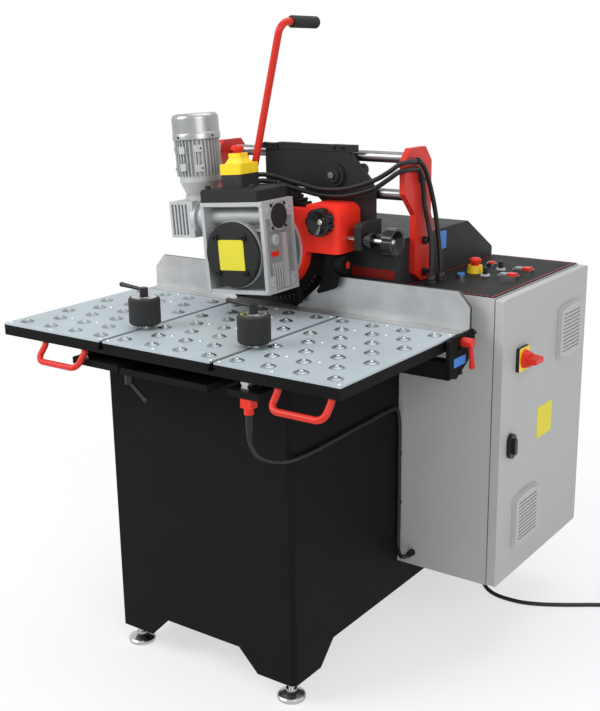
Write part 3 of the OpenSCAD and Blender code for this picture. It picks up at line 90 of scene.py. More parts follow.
# Cable routes, the same points as in the part's drawing
SWITCH_ROUTE = (
    (730, 22, -134), (730, 22, -152), (733, 23, -176), (746, 30, -200), (768, 52, -214), (784, 90, -221),
    (785.2, 130, -224), (785.2, 160, -226), (785.2, 260, -225), (785.2, 380, -223), (785.2, 480, -222),
    (785.2, 522, -224), (785.2, 542, -236), (785, 550, -262), (785, 552, -300), (785, 552, -400),
    (785, 552, -530), (786, 549, -570), (792, 540, -596), (802, 528, -608), (812, 523, -612),
    (820, 527, -612), (822, 538, -612))
CONDUIT_ROUTES = (
    ((435, 455.5, 334), (441, 468, 334), (451, 494, 328), (470, 532, 314.5), (510, 552, 302), (550, 558, 295),
     (622, 556, 300), (706, 547, 324), (756, 537, 348), (784, 535, 366), (799, 544, 373), (802, 560, 373.4),
     (802, 570, 372.4), (802, 579.4, 372), (802, 592.4, 372), (803, 603, 370), (806, 624, 350),
     (810, 645, 304), (813, 663, 250), (818, 672, 190), (824, 672, 140), (828, 668, 114), (829, 666, 98)),
    ((436, 455.5, 319), (443, 468, 319), (454, 494, 313), (474, 530, 300), (510, 553, 287), (552, 560, 280),
     (622, 559, 283), (706, 548, 305), (756, 536, 331), (784, 533, 349), (799, 542, 355), (802, 558, 355.4),
     (802, 570, 354.4), (802, 579.4, 354), (802, 592.4, 354), (803, 602, 350), (803, 614, 332),
     (803, 624, 300), (804, 629, 262), (809, 638, 220), (818, 638, 172), (826, 626, 130), (829, 620, 98)))
LEAD_ROUTE = (
    (842, 905, -696.4), (842, 904.8, -724), (843, 902, -756), (848, 896, -788), (862, 884, -812),
    (886, 868, -826), (914, 856, -830.5), (950, 849, -830.5), (1000, 853, -830.5), (1050, 873, -830.5),
    (1105, 906, -830.5), (1155, 940, -830.5), (1190, 962, -830.5), (1212, 970.5, -830.5),
    (1228.6, 971, -830.5))
COIL_START = (1240.0, 971.0)

# Lathe profiles of small fittings: radius and height of each ring
CONDUIT_CLIP = ((7.0, -4), (7.6, -4.3), (8.2, -4), (8.2, 4), (7.6, 4.3), (7.0, 4))
SWITCH_CLIP = ((5.3, -5), (6.5, -5), (7.0, -4), (7.0, 4), (6.5, 5), (5.3, 5))
SWITCH_BOOT = ((8.3, 0), (8.3, 8), (7.2, 10), (7.7, 14), (6.7, 16), (7.1, 20), (6.2, 22), (6.5, 26),
               (5.8, 28), (5.5, 36), (5.27, 36))
ROLLER_FACE = ((30, 73.4), (30, 74.5), (28.5, 74.9), (20, 74.9), (19, 74.3), (15, 74.3), (14.4, 74.9),
               (11.2, 74.9), (11.2, 73.6))
SIDE_PLUG = ((8.5, 0), (8.5, 1.6), (7.5, 2.2), (5.0, 2.2), (4.6, 1.8), (4.4, 0.3))
OIL_PLUG = ((11.5, 0), (11.5, 2), (10, 3), (7.6, 3), (7, 1.2), (5.4, 1.2), (5, 3.4))
FRONT_BOSS = ((5.2, 0), (5.2, 1.2), (4.4, 1.8), (2.6, 1.8), (2.4, 1.2))
COWL_BAND = ((59, 0), (60.6, 1), (60.6, 14), (60, 15.5), (58.8, 17))
KNOCKOUT = ((8, 0), (8, 0.5), (7.6, 0.7), (6.8, 0.7), (6.5, 0.3))
KNOB_CAP = ((7.5, 0), (7.5, 2), (6, 3.4), (3, 3.8))


# Shapes: vertices and faces worked out as whole arrays


def wall_faces(rows, cols):
    """Quads between neighbouring rings: ring i and i + 1, point k and the next one round."""
    i = np.arange(rows - 1)[:, None] * cols
    k = np.arange(cols)[None, :]
    n = (k + 1) % cols
    return np.stack([i + k, i + n, i + cols + n, i + cols + k], -1).reshape(-1, 4)


def loft(rings):
    """Closed skin over a stack of rings (R, K, 3): walls between rings and a flat face on each end."""
    rows, cols, _ = rings.shape
    ends = [np.arange(cols)[::-1].tolist(), ((rows - 1) * cols + np.arange(cols)).tolist()]
    return rings.reshape(-1, 3), wall_faces(rows, cols).tolist() + ends


def across(axis):
    """Two unit vectors square to axis, so that first x second = axis, and axis at unit length."""
    axis = np.asarray(axis, float) / np.linalg.norm(axis)
    ref = np.array((0.0, 0.0, 1.0)) if abs(axis[2]) < 0.9 else np.array((0.0, 1.0, 0.0))
    first = np.cross(ref, axis)
    first /= np.linalg.norm(first)
    return first, np.cross(axis, first), axis


def turned(profile, base, axis, segments=24):
    """Lathe: each profile point (radius, height) becomes a circle round axis, base + r(cos, sin) + h axis."""
    first, second, axis = across(axis)
    r, h = np.asarray(profile, float).T
    angle = np.linspace(0, 2 * math.pi, segments, endpoint=False)
    circle = np.cos(angle)[:, None] * first + np.sin(angle)[:, None] * second
    return loft(np.asarray(base, float) + r[:, None, None] * circle + h[:, None, None] * axis)


def rounded_outline(half_w, half_h, radius, steps=5):
    """Corner arcs of a rounded rectangle, joined in order round its middle."""
    turn = np.linspace(0, math.pi / 2, steps)
    corners = np.array([(1, 1), (-1, 1), (-1, -1), (1, -1)])
    angle = turn[None, :] + np.arange(4)[:, None] * math.pi / 2
    centre = corners * (np.array((half_w, half_h)) - radius)
    return (centre[:, None, :] + radius * np.stack([np.cos(angle), np.sin(angle)], -1)).reshape(-1, 2)


def plate(size, radius, thick, centre, axis, up=UP, edge=0.4):
    """Flat plate with rounded corners and a small chamfer: outlines stacked along axis."""
    axis = np.asarray(axis, float) / np.linalg.norm(axis)
    up = np.asarray(up, float) - axis * np.dot(axis, up)
    up /= np.linalg.norm(up)
    right = np.cross(up, axis)
    levels = ((0.0, 0.0), (0.0, thick - edge), (edge, thick))
    rings = [rounded_outline(size[0] / 2 - i, size[1] / 2 - i, max(radius - i, 0.1)) for i, _ in levels]
    rise = np.array([h for _, h in levels])[:, None, None] * axis
    flat = np.array(rings)
    return loft(np.asarray(centre, float) + flat[..., :1] * right + flat[..., 1:] * up + rise)


def spline(points, per=6):
    """Catmull-Rom curve through the points, per samples on each stretch."""
    p = np.asarray(points, float)
    a, b, c, d = np.vstack([p[:1], p[:-2]]), p[:-1], p[1:], np.vstack([p[2:], p[-1:]])
    u = (np.arange(per) / per)[None, :, None]
    a, b, c, d = (q[:, None, :] for q in (a, b, c, d))
    curve = 0.5 * (2 * b + (c - a) * u + (2 * a - 5 * b + 4 * c - d) * u**2 + (3 * b - a - 3 * c + d) * u**3)
    return np.vstack([curve.reshape(-1, 3), p[-1:]])


def resampled(path, step):
    """The same path with points a fixed arc length apart."""
    run = np.concatenate([[0], np.cumsum(np.linalg.norm(np.diff(path, axis=0), axis=1))])
    s = np.linspace(0, run[-1], max(int(round(run[-1] / step)), 2) + 1)
    return np.stack([np.interp(s, run, path[:, k]) for k in range(3)], -1), s


def swept(path, radius, sides=14, ref=(0.31, -0.52, 0.79)):
    """Tube: a circle of the given radius at each path point, square to the path's direction there."""
    tangent = np.gradient(path, axis=0)
    tangent /= np.linalg.norm(tangent, axis=1)[:, None]
    first = np.cross(np.asarray(ref, float), tangent)
    first /= np.linalg.norm(first, axis=1)[:, None]
    second = np.cross(tangent, first)
    angle = np.linspace(0, 2 * math.pi, sides, endpoint=False)[None, :, None]
    r = np.broadcast_to(np.asarray(radius, float), (len(path),))[:, None, None]
    circle = np.cos(angle) * first[:, None, :] + np.sin(angle) * second[:, None, :]
    return loft(path[:, None, :] + r * circle)


def joined(shapes):
    """Several shapes as one set of vertices and faces."""
    verts, faces, start = [], [], 0
    for v, f in shapes:
        verts.append(v)
        faces += [[i + start for i in face] for face in f]
        start += len(v)
    return np.vstack(verts), faces


def leaned(u, y, v):
    """A point of the leaning gear train: u across, v up from the output axis."""
    c, s = math.cos(HEAD_LEAN), math.sin(HEAD_LEAN)
    return np.array((HEAD_X + u * c - v * s, y, HEAD_Z + u * s + v * c))


LEAN_UP = leaned(0, 0, 1) - leaned(0, 0, 0)
LEAN_SIDE = leaned(1, 0, 0) - leaned(0, 0, 0)


def to_frame(points):
    """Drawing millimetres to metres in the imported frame."""
    return (np.asarray(points, float) - DRAWING_ORIGIN) / 1000.0


def piece(name, shape, finish, body=None, sharp=35):
    """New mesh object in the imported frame, in a named finish, smooth up to edges of sharp degrees."""
    verts, faces = shape
    mesh = bpy.data.meshes.new(name)
    mesh.from_pydata(to_frame(verts).tolist(), [], faces)
    mesh.materials.append(FINISHES[finish])
    mesh.shade_smooth()
    mesh.set_sharp_from_angle(angle=math.radians(sharp))
    obj = bpy.data.objects.new(name, mesh)
    bpy.context.scene.collection.objects.link(obj)
    if body:
        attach(obj, body)
    return obj


# Finishes, some with painted shade, painted light, painted sheen and painted dark reflections

FINISHES = {}
# Inputs and output of a Mix node set to colours
MIX_SHARE, MIX_LOW, MIX_HIGH, MIX_RESULT = 0, 6, 7, 2


def feed(tree, node, values):
    """Feeds a node's inputs by name or place: links sockets, and sets numbers, vectors and colours."""
    for label, value in values.items():
        socket = node.inputs[label]
        if isinstance(value, bpy.types.NodeSocket):
            tree.links.new(value, socket)
        else:
            socket.default_value = (*value, 1) if socket.type == "RGBA" else value


def new_group(name, inputs, outputs):
    """Empty shader node group and its end nodes; Vector and Squeeze are vectors, other sockets numbers."""
    tree = bpy.data.node_groups.new(name, "ShaderNodeTree")
    for in_out, labels in (("INPUT", inputs), ("OUTPUT", outputs)):
        for label in labels:
            kind = "NodeSocketVector" if label in ("Vector", "Squeeze") else "NodeSocketFloat"
            tree.interface.new_socket(name=label, in_out=in_out, socket_type=kind)
    return tree, tree.nodes.new("NodeGroupInput"), tree.nodes.new("NodeGroupOutput")


def noise(tree, vector, scale, detail, roughness=0.55):
    """Noise texture on a vector."""
    node = tree.nodes.new("ShaderNodeTexNoise")
    feed(tree, node, {"Vector": vector, "Scale": scale, "Detail": detail, "Roughness": roughness})
    return node.outputs[0]


def math_node(tree, operation, a, b):
    """Math node on two sockets or numbers."""
    node = tree.nodes.new("ShaderNodeMath")
    node.operation = operation
    feed(tree, node, {0: a, 1: b})
    return node.outputs[0]


def spread(tree, value, low, high, out_low, out_high):
    """Map Range: value from low..high to out_low..out_high, held at the ends."""
    node = tree.nodes.new("ShaderNodeMapRange")
    feed(tree, node, {
        "Value": value, "From Min": low, "From Max": high, "To Min": out_low, "To Max": out_high})
    return node.outputs[0]


def make_grain_group():
    """Powder-coat and casting grain: a fine pitted height and a broad blotch mask."""
    tree, start, end = new_group("coat_grain", ("Vector", "Scale"), ("Height", "Blotch"))
    vector, scale = start.outputs["Vector"], start.outputs["Scale"]
    broad = noise(tree, vector, math_node(tree, "MULTIPLY", scale, 0.012), 5, 0.62)
    feed(tree, end, {"Height": noise(tree, vector, scale, 3), "Blotch": broad})
    return tree


def make_brush_group():
    """Brushed or milled lines: noise on a vector squeezed along the lines, and broad handling smears."""
    tree, start, end = new_group("brush_lines", ("Vector", "Squeeze"), ("Lines", "Smear"))
    vector = start.outputs["Vector"]
    squeezed = tree.nodes.new("ShaderNodeVectorMath")
    squeezed.operation = "MULTIPLY"
    feed(tree, squeezed, {0: vector, 1: start.outputs["Squeeze"]})
    lines = noise(tree, squeezed.outputs[0], 1.0, 4, 0.7)
    feed(tree, end, {"Lines": lines, "Smear": noise(tree, vector, 7.0, 4, 0.6)})
    return tree


def make_rub_group():
    """Rubbed spots: broad noise cut to small islands and broken up by fine noise."""
    tree, start, end = new_group("rub_marks", ("Vector", "Reach"), ("Mask",))
    vector = start.outputs["Vector"]
    product = math_node(tree, "MULTIPLY", noise(tree, vector, 9.0, 3), noise(tree, vector, 160.0, 2))
    feed(tree, end, {"Mask": spread(tree, product, start.outputs["Reach"], 0.5, 0, 1)})
    return tree


def tint(tree, mask, low, high):
    """Colour between low and high by a mask."""
    node = tree.nodes.new("ShaderNodeMix")
    node.data_type = "RGBA"
    feed(tree, node, {MIX_SHARE: mask, MIX_LOW: low, MIX_HIGH: high})
    return node.outputs[MIX_RESULT]


def seen_directly(tree):
    """1 for rays from the camera, mirrors and glass, and 0 for light that falls on the machine."""
    rays = tree.nodes.new("ShaderNodeLightPath").outputs
    mirrored = math_node(tree, "MAXIMUM", rays["Is Glossy Ray"], rays["Is Transmission Ray"])
    return math_node(tree, "MAXIMUM", rays["Is Camera Ray"], mirrored)


def scaled(colour, factor):
    """Colour times factor, held at 1."""
    return tuple(min(c * factor, 1.0) for c in colour)


def new_material(name):
    """Material with its Principled shader, node tree and object coordinates."""
    made = bpy.data.materials.new(name)
    made.use_nodes = True
    tree = made.node_tree
    where = tree.nodes.new("ShaderNodeTexCoord").outputs["Object"]
    return made, tree, tree.nodes["Principled BSDF"], where


def placed_group(tree, group, **values):
    """Outputs of a group node with fed inputs."""
    node = tree.nodes.new("ShaderNodeGroup")
    node.node_tree = group
    feed(tree, node, values)
    return node.outputs


def bump(tree, height, strength):
    """Normal with bumps of up to a millimetre from a height socket."""
    node = tree.nodes.new("ShaderNodeBump")
    feed(tree, node, {"Strength": strength, "Distance": 0.001, "Height": height})
    return node.outputs[0]


def coated(name, groups, colour, grain, depth, rough, vary, specular, metallic=0.0, coat=0.0, rub=None):
    """Paint, plastic, rubber or casting: grainy bump, blotchy tone and gloss, and optional rubbed spots."""
    made, tree, shader, where = new_material(name)
    skin = placed_group(tree, groups["grain"], Vector=where, Scale=grain)
    tone = tint(tree, skin["Blotch"], scaled(colour, 1 - vary), scaled(colour, 1 + vary))
    if rub:
        spot, reach = rub
        marks = placed_group(tree, groups["rub"], Vector=where, Reach=reach)
        tone = tint(tree, marks["Mask"], tone, spot)
    feed(tree, shader, {
        "Base Color": tone, "Roughness": spread(tree, skin["Blotch"], 0.3, 0.7, *rough), "Metallic": metallic,
        "Specular IOR Level": specular, "Coat Weight": coat, "Coat Roughness": 0.12,
        "Normal": bump(tree, skin["Height"], depth)})
    return made


def brushed(name, groups, colour, squeeze, rough, vary, metallic=1.0, depth=0.06):
    """Bare metal with brushed, ground or plated lines and soft smears."""
    made, tree, shader, where = new_material(name)
    marks = placed_group(tree, groups["brush"], Vector=where, Squeeze=squeeze)
    cloud = spread(tree, marks["Smear"], 0.32, 0.68, 0.0, 1.0)
    both = math_node(tree, "ADD", math_node(tree, "MULTIPLY", marks["Lines"], 0.6),
                     math_node(tree, "MULTIPLY", marks["Smear"], 0.4))
    feed(tree, shader, {
        "Base Color": tint(tree, cloud, scaled(colour, 1 - vary), scaled(colour, 1 + vary)),
        "Roughness": spread(tree, both, 0.3, 0.7, *rough), "Metallic": metallic,
        "Normal": bump(tree, marks["Lines"], depth)})
    return made


def make_finishes(look):
    """All materials of the machine, by name; some are darker or lighter copies that carry painted shade,
    painted light, a painted sheen and painted dark reflections.

    paint() takes the colour, grain per metre, bump strength, roughness from and to, spread of tone and
    specular level; metal() the colour, lines per metre along X, Y and Z, roughness from and to, spread of
    tone, metallic and bump strength.
    """
    groups = {"grain": make_grain_group(), "brush": make_brush_group(), "rub": make_rub_group()}
    black, red, pale = tuple(look.black_coat), tuple(look.red_enamel), tuple(look.cabinet_coat)
    steel, alloy, zinc = tuple(look.ground_steel), tuple(look.cast_alloy), tuple(look.zinc_plate)
    rubber, milled = tuple(look.cable_rubber), tuple(look.fence_alloy)
    yellow, blue = tuple(look.signal_yellow), tuple(look.signal_blue)
    lemon = scaled((yellow[0], yellow[1] * 1.28, yellow[2] * 3.2), 0.82)

    def paint(name, *values, **more):
        FINISHES[name] = coated(name, groups, *values, **more)

    def metal(name, *values):
        FINISHES[name] = brushed(name, groups, *values)

    paint("black coat", black, 1400, 0.16, (0.5, 0.62), 0.25, 0.05, rub=((0.016, 0.016, 0.017), 0.37))
    # Black coat painted lighter for hood, gear covers and carriage: a painted sheen
    paint("black coat painted sheen", scaled(black, 2.2), 1400, 0.2, (0.48, 0.6), 0.2, 0.2)
    paint("panel print", scaled(black, 1.5), 1800, 0.08, (0.5, 0.6), 0.14, 0.08)
    paint("red enamel", red, 500, 0.08, (0.3, 0.4), 0.1, 0.24, coat=0.06)
    # Red enamel painted lighter for the head casting: painted light on its lit front
    paint("casting enamel painted light", scaled(red, 1.62), 260, 0.3, (0.34, 0.46), 0.12, 0.2)
    # Cast alloy painted darker: painted shade on the gearbox's recess floors and window back
    paint("shaded cast", scaled(alloy, 0.6), 620, 0.5, (0.5, 0.64), 0.2, 0.3, metallic=0.3)
    # Cast alloy painted dark: painted shade on the front face of the drum's rim behind the gearbox
    paint("cast painted shade", scaled(alloy, 0.3), 620, 0.42, (0.5, 0.62), 0.14, 0.2)
    # Red enamel painted dark for the strip on the hood's front: painted shade
    paint("red strip painted shade", scaled(red, 0.3), 900, 0.1, (0.4, 0.5), 0.2, 0.2)
    paint("cabinet coat", pale, 1500, 0.22, (0.42, 0.52), 0.04, 0.35)
    paint("vent plastic", scaled(pale, 1.06), 1800, 0.06, (0.42, 0.5), 0.03, 0.3)
    paint("cast alloy", scaled(alloy, 1.1), 620, 0.42, (0.46, 0.6), 0.14, 0.4, metallic=0.35)
    metal("cowl alloy", scaled(alloy, 0.84), (240, 240, 10), (0.26, 0.4), 0.06, 0.9)
    metal("fence alloy", milled, (7, 60, 60), (0.32, 0.5), 0.17, 0.85, 0.1)
    # Fence alloy painted darker on the fence's ledge: painted shade
    metal("ledge alloy painted shade", scaled(milled, 0.78), (7, 260, 260), (0.34, 0.5), 0.2, 0.85, 0.1)
    paint("dark edge", (0.075, 0.075, 0.076), 700, 0.3, (0.4, 0.55), 0.35, 0.5, metallic=0.5)
    metal("zinc plate", zinc, (30, 210, 210), (0.5, 0.64), 0.05, 0.3, 0.03)
    metal("ground steel", steel, (12, 260, 260), (0.18, 0.32), 0.12)
    # Ground steel painted darker for the guide rods: a painted dark reflection
    metal("rod steel painted dark reflection", scaled(steel, 0.5), (12, 260, 260), (0.24, 0.36), 0.16)
    metal("bright steel", scaled(steel, 1.25), (60, 60, 60), (0.06, 0.14), 0.06)
    # Ball and cup steel painted darker: painted dark reflections on the ball units
    metal("ball steel painted dark reflection", scaled(steel, 0.8), (60, 60, 60), (0.06, 0.14), 0.06)
    metal("cup steel painted dark reflection", scaled(zinc, 0.62), (90, 90, 90), (0.3, 0.45), 0.16)
    paint("dark tool steel", (0.03, 0.03, 0.032), 800, 0.2, (0.36, 0.5), 0.3, 0.5, metallic=0.6,
          rub=((0.2, 0.2, 0.2), 0.34))
    paint("black plastic", (0.012, 0.012, 0.0125), 1600, 0.06, (0.32, 0.44), 0.2, 0.28)
    paint("gloss black", (0.008, 0.008, 0.0085), 900, 0.04, (0.12, 0.2), 0.2, 0.3)
    paint("box base plastic", (0.022, 0.0225, 0.0235), 1600, 0.08, (0.42, 0.52), 0.15, 0.25)
    paint("red plastic", scaled(red, 1.15), 1500, 0.04, (0.32, 0.4), 0.06, 0.22)
    paint("yellow plastic", yellow, 1500, 0.04, (0.32, 0.4), 0.06, 0.3)
    paint("plain yellow plate", lemon, 1500, 0.03, (0.4, 0.5), 0.05, 0.1)
    paint("blue plastic", blue, 1500, 0.04, (0.3, 0.38), 0.06, 0.3)
    paint("plain blue plate", scaled(blue, 1.1), 1500, 0.03, (0.36, 0.44), 0.05, 0.25)
    paint("lamp lens", (0.17, 0.18, 0.19), 1500, 0.03, (0.16, 0.24), 0.08, 0.4)
    paint("roller rubber", scaled(rubber, 1.9), 1100, 0.35, (0.52, 0.64), 0.2, 0.22)
    paint("cable rubber", rubber, 1300, 0.1, (0.38, 0.5), 0.18, 0.3)
    paint("conduit", scaled(rubber, 0.9), 1300, 0.08, (0.34, 0.46), 0.18, 0.28)
    paint("grip rubber", scaled(rubber, 1.2), 1300, 0.2, (0.48, 0.6), 0.16, 0.25)


def dress_with_finishes(node, finish, *regions):
    """Gives a CAD node its finish, and other finishes to the faces that a region test picks; some of these
    carry painted shade and painted dark reflections.

    A region is (finish name, test), where test takes face middles in drawing millimetres and face
    normals, as arrays, and returns a mask.
    """
    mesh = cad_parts[node].data
    mesh.materials.clear()
    mesh.materials.append(FINISHES[finish])
    if not regions:
        return
    count = len(mesh.polygons)
    middle, normal = np.zeros(count * 3), np.zeros(count * 3)
    mesh.polygons.foreach_get("center", middle)
    mesh.polygons.foreach_get("normal", normal)
    middle = middle.reshape(-1, 3) * 1000.0 + DRAWING_ORIGIN
    normal = normal.reshape(-1, 3)
    chosen = np.zeros(count, np.int32)
    for i, (name, test) in enumerate(regions, 1):
        mesh.materials.append(FINISHES[name])
        chosen[test(middle, normal)] = i
    mesh.polygons.foreach_set("material_index", chosen)
    mesh.update()


def within(points, axes, centre, radius):
    """Mask of the points nearer than radius to a centre, as seen along the axis that isn't named."""
    return np.linalg.norm(points[:, axes] - np.asarray(centre, float), axis=1) < radius


# Settings


def colour(name, description, default):
    """Colour property."""
    return FloatVectorProperty(
        name=name, description=description, subtype="COLOR", size=3, min=0, max=1, default=default)


def length(name, description, default, low, high):
    """Length property, given in millimetres and kept in metres."""
    return FloatProperty(name=name, description=description, default=default / 1000, min=low / 1000,
                         max=high / 1000, unit="LENGTH", precision=4)


def in_mm(metres):
    """Value of a length property in millimetres, rounded to a ten-thousandth."""
    return round(metres * 1000.0, 4)


class MachineColours(bpy.types.PropertyGroup):
    """Colours of the machine's finishes."""

    black_coat: colour("Black coat", "Coat of base, hood, table frame and carriage", (0.0078, 0.0078, 0.008))
    red_enamel: colour("Red enamel", "Casting, side plates, handles and lever", (0.56, 0.021, 0.011))
    cabinet_coat: colour("Cabinet coat", "Pale textured coat of the electrical cabinet", (0.405, 0.41, 0.408))
    ground_steel: colour("Ground steel", "Rails, rods, feet and balls", (0.47, 0.475, 0.48))
    cast_alloy: colour("Cast alloy", "Gearboxes and motor", (0.40, 0.41, 0.415))
    fence_alloy: colour("Fence alloy", "Milled fence", (0.45, 0.455, 0.458))
    zinc_plate: colour("Zinc plate", "Table panels", (0.378, 0.438, 0.466))
    cable_rubber: colour("Cable rubber", "Lead, conduits and rollers", (0.011, 0.011, 0.0115))
    signal_yellow: colour("Signal yellow", "Stop box, collar and bare plates", (0.86, 0.60, 0.02))
    signal_blue: colour("Signal blue", "Blue button and bare plates", (0.05, 0.19, 0.55))


class CableSizes(bpy.types.PropertyGroup):
    """Cables and their fittings."""

    lead_d: length("Lead diameter", "Mains lead", 11.0, 10.0, 12.0)
    conduit_d: length("Conduit diameter", "Ribbed conduits to the head", 12.0, 10.0, 13.0)
    conduit_rib: length("Conduit rib pitch", "Distance from rib to rib", 3.6, 2.5, 6.0)
    switch_d: length("Switch cable diameter", "Cable of the rail switch", 10.5, 8.0, 11.0)
    coil_turns: IntProperty(
        name="Coil turns", description="Turns in each layer of the put-away lead", default=3, min=2, max=4)
    coil_in: length("Coil inner radius", "Middle of the innermost turn", 36.0, 30.0, 50.0)
    coil_gap: length("Coil gap", "Room between neighbouring turns", 0.8, 0.5, 2.0)


class FittingSizes(bpy.types.PropertyGroup):
    """Screws and bare plates."""

    cap_screw_d: length("Cap screw head", "Socket head diameter on the cover disc", 13.0, 8.0, 18.0)
    side_bolt_d: length("Side bolt head", "Socket head diameter on the side plates", 19.0, 14.0, 24.0)
    panel_screw_d: length("Panel screw head", "Button heads on the table panels", 8.5, 6.0, 11.0)
    plate_t: length("Bare plate thickness", "Yellow and blue plates", 0.8, 0.4, 2.0)
    border_dash: length("Border dash", "Dash of the red line round the control panel", 9.0, 4.0, 20.0)


class StageSettings(bpy.types.PropertyGroup):
    """Camera, floor and lamps."""

    lens: FloatProperty(name="Lens", description="Focal length", default=56.423, unit="CAMERA")
    floor_tone: FloatProperty(
        name="Floor tone", description="Pale floor", default=0.86, min=0, max=1, subtype="FACTOR")
    sky: FloatProperty(name="Sky", description="Strength of the even light", default=0.55, min=0, max=2)
    key_power: FloatProperty(
        name="Key lamp", description="Large lamp at the front left", default=150.0, unit="POWER")
    fill_power: FloatProperty(
        name="Fill lamp", description="Large lamp at the right", default=70.0, unit="POWER")
    top_power: FloatProperty(name="Top lamp", description="Large lamp above", default=60.0, unit="POWER")


# Operators


class BEVELLER_OT_stage(bpy.types.Operator):
    """Camera at the photograph's angle, pale floor, even sky and three soft lamps"""

    bl_idname = "beveller.stage"
    bl_label = "Stage"

    def execute(self, context):
        stage = context.scene.beveller_stage
        azimuth, elevation, roll = (math.radians(a) for a in CAMERA_TURN)
        back = Vector((math.sin(azimuth) * math.cos(elevation), -math.cos(azimuth) * math.cos(elevation),
                       math.sin(elevation)))
        right = Vector((math.cos(azimuth), math.sin(azimuth), 0))
        up = back.cross(right)
        right, up = (right * math.cos(roll) + up * math.sin(roll),
                     up * math.cos(roll) - right * math.sin(roll))
        camera = bpy.data.objects.new("camera", bpy.data.cameras.new("camera"))
        camera.data.lens = stage.lens
        camera.data.sensor_width = 36
        turn = Matrix((right, up, back)).transposed().to_4x4()
        camera.matrix_world = Matrix.Translation(Vector(to_frame(CAMERA_AT))) @ turn
        context.scene.collection.objects.link(camera)
        context.scene.camera = camera
        context.scene.view_settings.view_transform = "Standard"
        self.floor(stage)
        self.sky(context.scene, stage)
        aim = Vector((0, 0, 0.8))
        for name, power, place, size in (
                ("key lamp", stage.key_power, (-2.6, -3.2, 3.4), 2.6),
                ("fill lamp", stage.fill_power, (3.6, -2.2, 2.6), 2.4),
                ("top lamp", stage.top_power, (0.2, 0.8, 4.2), 3.0)):
            lamp = bpy.data.lights.new(name, "AREA")
            lamp.energy, lamp.size = power, size
            holder = bpy.data.objects.new(name, lamp)
            holder.location = place
            holder.rotation_euler = (aim - holder.location).to_track_quat("-Z", "Y").to_euler()
            context.scene.collection.objects.link(holder)
        return {"FINISHED"}

    def floor(self, stage):
        """Large flat disc: pale with the machine's shadow nearby, plain white to the camera further out."""
        radius, sides = 14.0, 64
        near, far, near_share = 0.5, 1.9, 0.62
        ring = np.linspace(0, 2 * math.pi, sides, endpoint=False)
        disc = np.stack([radius * np.cos(ring), radius * np.sin(ring), 0 * ring], -1)
        mesh = bpy.data.meshes.new("floor")
        mesh.from_pydata(disc.tolist(), [], [list(range(sides))])
        made, tree, shader, where = new_material("pale floor")
        pale = (stage.floor_tone,) * 3
        tone = tint(tree, noise(tree, where, 3.0, 2), pale, scaled(pale, 1.02))
        feed(tree, shader, {"Base Color": tone, "Roughness": 0.9, "Specular IOR Level": 0.1})
        away = tree.nodes.new("ShaderNodeVectorMath")
        away.operation = "LENGTH"
        feed(tree, away, {0: where})
        white = spread(tree, away.outputs["Value"], near, far, near_share, 1.0)
        share = math_node(tree, "MULTIPLY", seen_directly(tree), white)
        glow = tree.nodes.new("ShaderNodeEmission")
        mix = tree.nodes.new("ShaderNodeMixShader")
        feed(tree, mix, {0: share, 1: shader.outputs[0], 2: glow.outputs[0]})
        feed(tree, tree.nodes["Material Output"], {"Surface": mix.outputs[0]})
        mesh.materials.append(made)
        floor = bpy.data.objects.new("floor", mesh)
        bpy.context.scene.collection.objects.link(floor)

    def sky(self, scene, stage):
        """White to the camera, mirrors and glass; a plain even light to everything else."""
        world = scene.world or bpy.data.worlds.new("sky")
        scene.world = world
        world.use_nodes = True
        tree = world.node_tree
        strength = spread(tree, seen_directly(tree), 0, 1, stage.sky, 1.0)
        feed(tree, tree.nodes["Background"], {"Color": (1, 1, 1), "Strength": strength})


